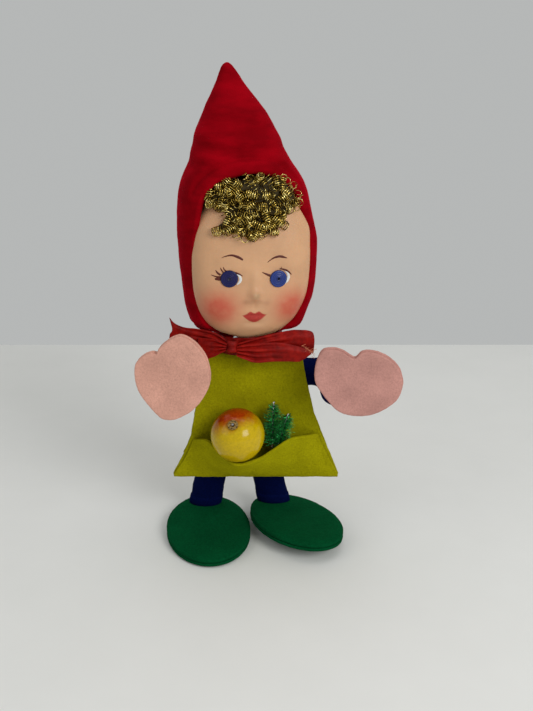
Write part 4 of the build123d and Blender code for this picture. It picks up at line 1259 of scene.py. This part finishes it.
# how far out an arm is, where its hand is from front to back, and the hand's outline
ARMS = {"right": (-23.0, -22.5, HAND_RIGHT), "left": (24.5, -20.5, HAND_LEFT)}
for side, (arm_x, hand_y, outline) in ARMS.items():
    sign = -1 if side == "right" else 1
    start, bend = NECK_X + sign * 3.5, arm_x - sign * ELBOW_R
    turns = np.linspace(0, math.pi / 2, 9)
    route = [(start, 0, ARM_Z), ((start + bend) / 2, 0, ARM_Z)]
    route += [(bend + sign * ELBOW_R * math.sin(a), -ELBOW_R * (1 - math.cos(a)), ARM_Z) for a in turns]
    route += [(arm_x, -2 * ELBOW_R, ARM_Z), (arm_x, hand_y + 1.55, ARM_Z)]
    path = curve(route, 90)
    along = np.linspace(0, 1, 90)
    girth = SLEEVE_R * (1 - 0.5 * smoothstep(0.02, 0.0, along)) * (1 - 0.45 * smoothstep(0.985, 1.0, along))
    girth = girth * (1 + 0.035 * np.sin(along * 40) * bump(along, 0.45, 0.2))
    sleeve = raw(f"sleeve_{side}_felt", *tube(path, girth, sides=40), navy_felt)
    ruffle(sleeve, (0.3, 3.5, 4.0 + sign), (0.08, 1.0, 2.0))
    inner, outer = ((NECK_X + sign * aside, 0, ARM_Z) for aside in (6.5, 11.5))
    join(sleeve, ("torso", f"arm_{side}"), inner, outer, f"sleeve_{side}", f"arm_padding_{side}")
    ring = curve(outline, 150, closed=True)
    middle = ring.mean(axis=0)
    # the doll's left hand gets the darker copy of the pink felt, which is painted shade
    fabric = pink_felt if side == "right" else shaded_pink_felt
    # the back layer lies a little off the front one, so both edges show
    for layer, behind, shift in (("front", -0.56, (0, 0)), ("back", 0.56, (0.36, 0.32))):
        flat, faces, edge = disc_grid(ring + shift, middle)
        bow = 0.18 * np.sin(flat[:, 0] * 0.2 + sign) * np.sin(flat[:, 1] * 0.17) * edge
        points = np.stack([flat[:, 0], hand_y + behind + bow, flat[:, 1]], -1)
        hand = cloth(f"hand_{side}_{layer}_felt", points, faces, fabric, 1.08, 1, ((0.06, 1.0, 5.0),))
        place(hand, f"hand_{side}", "pink_felt", f"hand_{layer}_{side}")

# ---- legs and shoes ----
SHOE_HALVES, SHOE_SIDES = (13.9, 21.9), 160
LEG_HALVES, LEG_SIDES = (5.35, 3.65), 72
ANKLE_UP, HIP_Z = 4.3, 32.2
RIGHT_TURN = math.radians(7.5)
# each shoe's place, its sideways direction and the direction of its upper side
RIGHT_SHOE = (
    np.array([-15.9, -8.3, 0]),
    np.array([math.cos(RIGHT_TURN), math.sin(RIGHT_TURN), 0]),
    np.array([0, 0, 1.0]),
)
LEFT_SHOE = (
    np.array([13.2, -7.0, 2.07]),
    np.array([0.921514, 0.379249, -0.083558]),
    np.array([0.047106, 0.104412, 0.993418]),
)


def shoe_point(shoe, u, v, w):
    """Sideways, forwards and up from a shoe's place, as a point."""
    origin, across, up = shoe
    forward = np.cross(up, across)
    return origin + np.multiply.outer(u, across) + np.multiply.outer(v, forward) + np.multiply.outer(w, up)


def shoe_layers(side, shoe):
    """The sole and the upper, two ovals of felt that meet beyond the steel disc's edge."""
    origin, _, up = shoe
    oval = np.hstack(circle(SHOE_SIDES)) * SHOE_HALVES
    flat, faces, near = disc_grid(oval, (0, 0), 56)
    meet = 0.42 * smoothstep(0.88, 0.97, near)
    dome = 0.2 * (1 - near**4) + 0.10 * np.sin(flat[:, 0] * 0.3) * np.sin(flat[:, 1] * 0.21)
    for layer, low, thick, heave in (("sole", 0, 1.1, meet), ("upper", 2.0, 1.3, dome - meet)):
        points = shoe_point(shoe, flat[:, 0], flat[:, 1], low + thick / 2 + heave)
        felt_layer = cloth(f"shoe_{side}_{layer}_felt", points, faces, green_felt, thick, 1, ())
        ruffle(felt_layer, (0.07, 1.1, 2.0), where=lambda p: (p - origin) @ up > 0.6)
        place(felt_layer, f"foot_{side}", "green_felt", f"shoe_{layer}_{side}")


def trouser(side, ankle, hip, leg_up, ring, up):
    """A padded trouser leg, whose bottom edge follows the shoe's top."""
    length = np.linalg.norm(hip - ankle)
    rows = []
    for h in np.linspace(0.35, length + 5.5, 60):
        taper = 1 - 0.55 * smoothstep(length + 2.5, length + 5.5, h)
        rows.append(ankle + leg_up * h + ring * taper * (1 - 0.02 * bump(h, 9, 3)))
    level = (rows[0] - ankle) @ up
    rows[0] = rows[0] - leg_up * (level - 0.2)[:, None] / (leg_up @ up)
    rows[1] = rows[1] * 0.5 + (rows[0] + leg_up * 0.8) * 0.5
    points, faces = capped(rows, rows[0].mean(axis=0), rows[-1].mean(axis=0))
    leg = raw(f"trouser_{side}_felt", points, faces, navy_felt)
    ruffle(leg, (0.22, 3.5, 6.0 + hip[0]), (0.07, 1.0, 3.0))
    nodes = f"trouser_leg_{side}", f"leg_padding_{side}"
    join(leg, ("torso", f"leg_{side}"), hip + leg_up * 3.5, hip - leg_up * 2.5, *nodes)


def trouser_cuff(side, ankle, leg_up, ring, up):
    """The rolled end of a trouser leg, level with the shoe."""
    rows = []
    # heights along the leg and sizes of the roll's rings
    for h, grow in ((-0.95, 1.0), (-0.9, 1.035), (0.2, 1.05), (1.4, 1.045), (2.6, 1.035), (2.8, 1.0)):
        base = ankle + ring * grow
        lift = (base - ankle) @ up
        rows.append(base - leg_up * (lift / (leg_up @ up))[:, None] + leg_up * h)
    rows.append(rows[-1] * 0.5 + rows[-1].mean(axis=0) * 0.5)
    rows.insert(0, rows[0] * 0.5 + rows[0].mean(axis=0) * 0.5)
    count = len(rows)
    faces = grid_faces(count, LEG_SIDES, wrap=True)
    faces += [tuple(range(LEG_SIDES)), tuple(range((count - 1) * LEG_SIDES, count * LEG_SIDES))]
    cuff = raw(f"cuff_{side}_felt", np.vstack(rows), faces, navy_felt)
    ruffle(cuff, (0.08, 1.6, 6.0))
    join(cuff, (f"leg_{side}", f"foot_{side}"), ankle + leg_up * 2.4, ankle - leg_up * 0.8)


# each leg's shoe, its ankle on the shoe, and its hip
LEGS = {"right": (RIGHT_SHOE, (0.2, 15.6), -12.4), "left": (LEFT_SHOE, (-1.8, 15.3), 0.8)}
for side, (shoe, ankle_at, hip_x) in LEGS.items():
    shoe_layers(side, shoe)
    ankle, hip = shoe_point(shoe, *ankle_at, ANKLE_UP), np.array([hip_x, 0.0, HIP_Z])
    leg_up = unit(hip - ankle)
    side_way = unit(np.cross([0, 1.0, 0], leg_up))
    back_way = np.cross(leg_up, side_way)
    x, y = circle(LEG_SIDES)
    ring = x * side_way * LEG_HALVES[0] + y * back_way * LEG_HALVES[1]
    trouser(side, ankle, hip, leg_up, ring, shoe[2])
    trouser_cuff(side, ankle, leg_up, ring, shoe[2])

# ---- CAD pieces that show ----
for node_name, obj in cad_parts.items():
    finish = plate if "weight" in node_name else brass if node_name == "apple_eye" else steel
    if not obj.hide_render:
        for slot in obj.material_slots:
            slot.material = finish

# ---- camera, light and table ----
scene = bpy.context.scene
scene.view_settings.view_transform = "Standard"
lens = bpy.data.cameras.new("camera")
lens.lens, lens.sensor_width, lens.clip_start = 45.57, 36.0, 0.01
camera = bpy.data.objects.new("camera", lens)
camera.location = (-0.0008, -0.2687, 0.1544)
camera.rotation_euler = (math.radians(71), 0, 0)
scene.collection.objects.link(camera)
scene.camera = camera
world = bpy.data.worlds.new("studio")
world.use_nodes = True
background = world.node_tree.nodes["Background"]
background.inputs["Color"].default_value = (0.475, 0.486, 0.482, 1)
background.inputs["Strength"].default_value = 0.98
scene.world = world


def softbox(name, place_at, size, power):
    """A square lamp that faces the doll's middle."""
    light = bpy.data.lights.new(name, "AREA")
    light.size, light.energy = size, power
    obj = bpy.data.objects.new(name, light)
    obj.location = place_at
    aim = Vector((0, 0, 0.07)) - Vector(place_at)
    obj.rotation_euler = aim.to_track_quat("-Z", "Y").to_euler()
    scene.collection.objects.link(obj)


softbox("key_right", (0.38, -0.50, 0.38), size=0.32, power=2.75)
softbox("fill_left", (-0.50, -0.30, 0.42), size=0.35, power=0.35)
softbox("top", (0.0, 0.10, 0.75), size=0.5, power=0.8)

# how far the table reaches to the sides and the front, and behind the doll
TABLE_HALF, TABLE_BACK = 3, 0.1977
table_corners = [(x, y, 0) for y in (-TABLE_HALF, TABLE_BACK) for x in (-TABLE_HALF, TABLE_HALF)]
table = bpy.data.meshes.new("table")
table.from_pydata(table_corners, [], [(0, 1, 3, 2)])
table_obj = bpy.data.objects.new("table", table)
scene.collection.objects.link(table_obj)
board = Look("table_board", 0.55, Specular_IOR_Level=0.25)
board.colour(board.ramp(board.noise(30.0), (0.3, (0.74, 0.74, 0.715)), (0.7, (0.76, 0.76, 0.735))))
table.materials.append(board.material)
table_obj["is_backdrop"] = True

low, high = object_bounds()
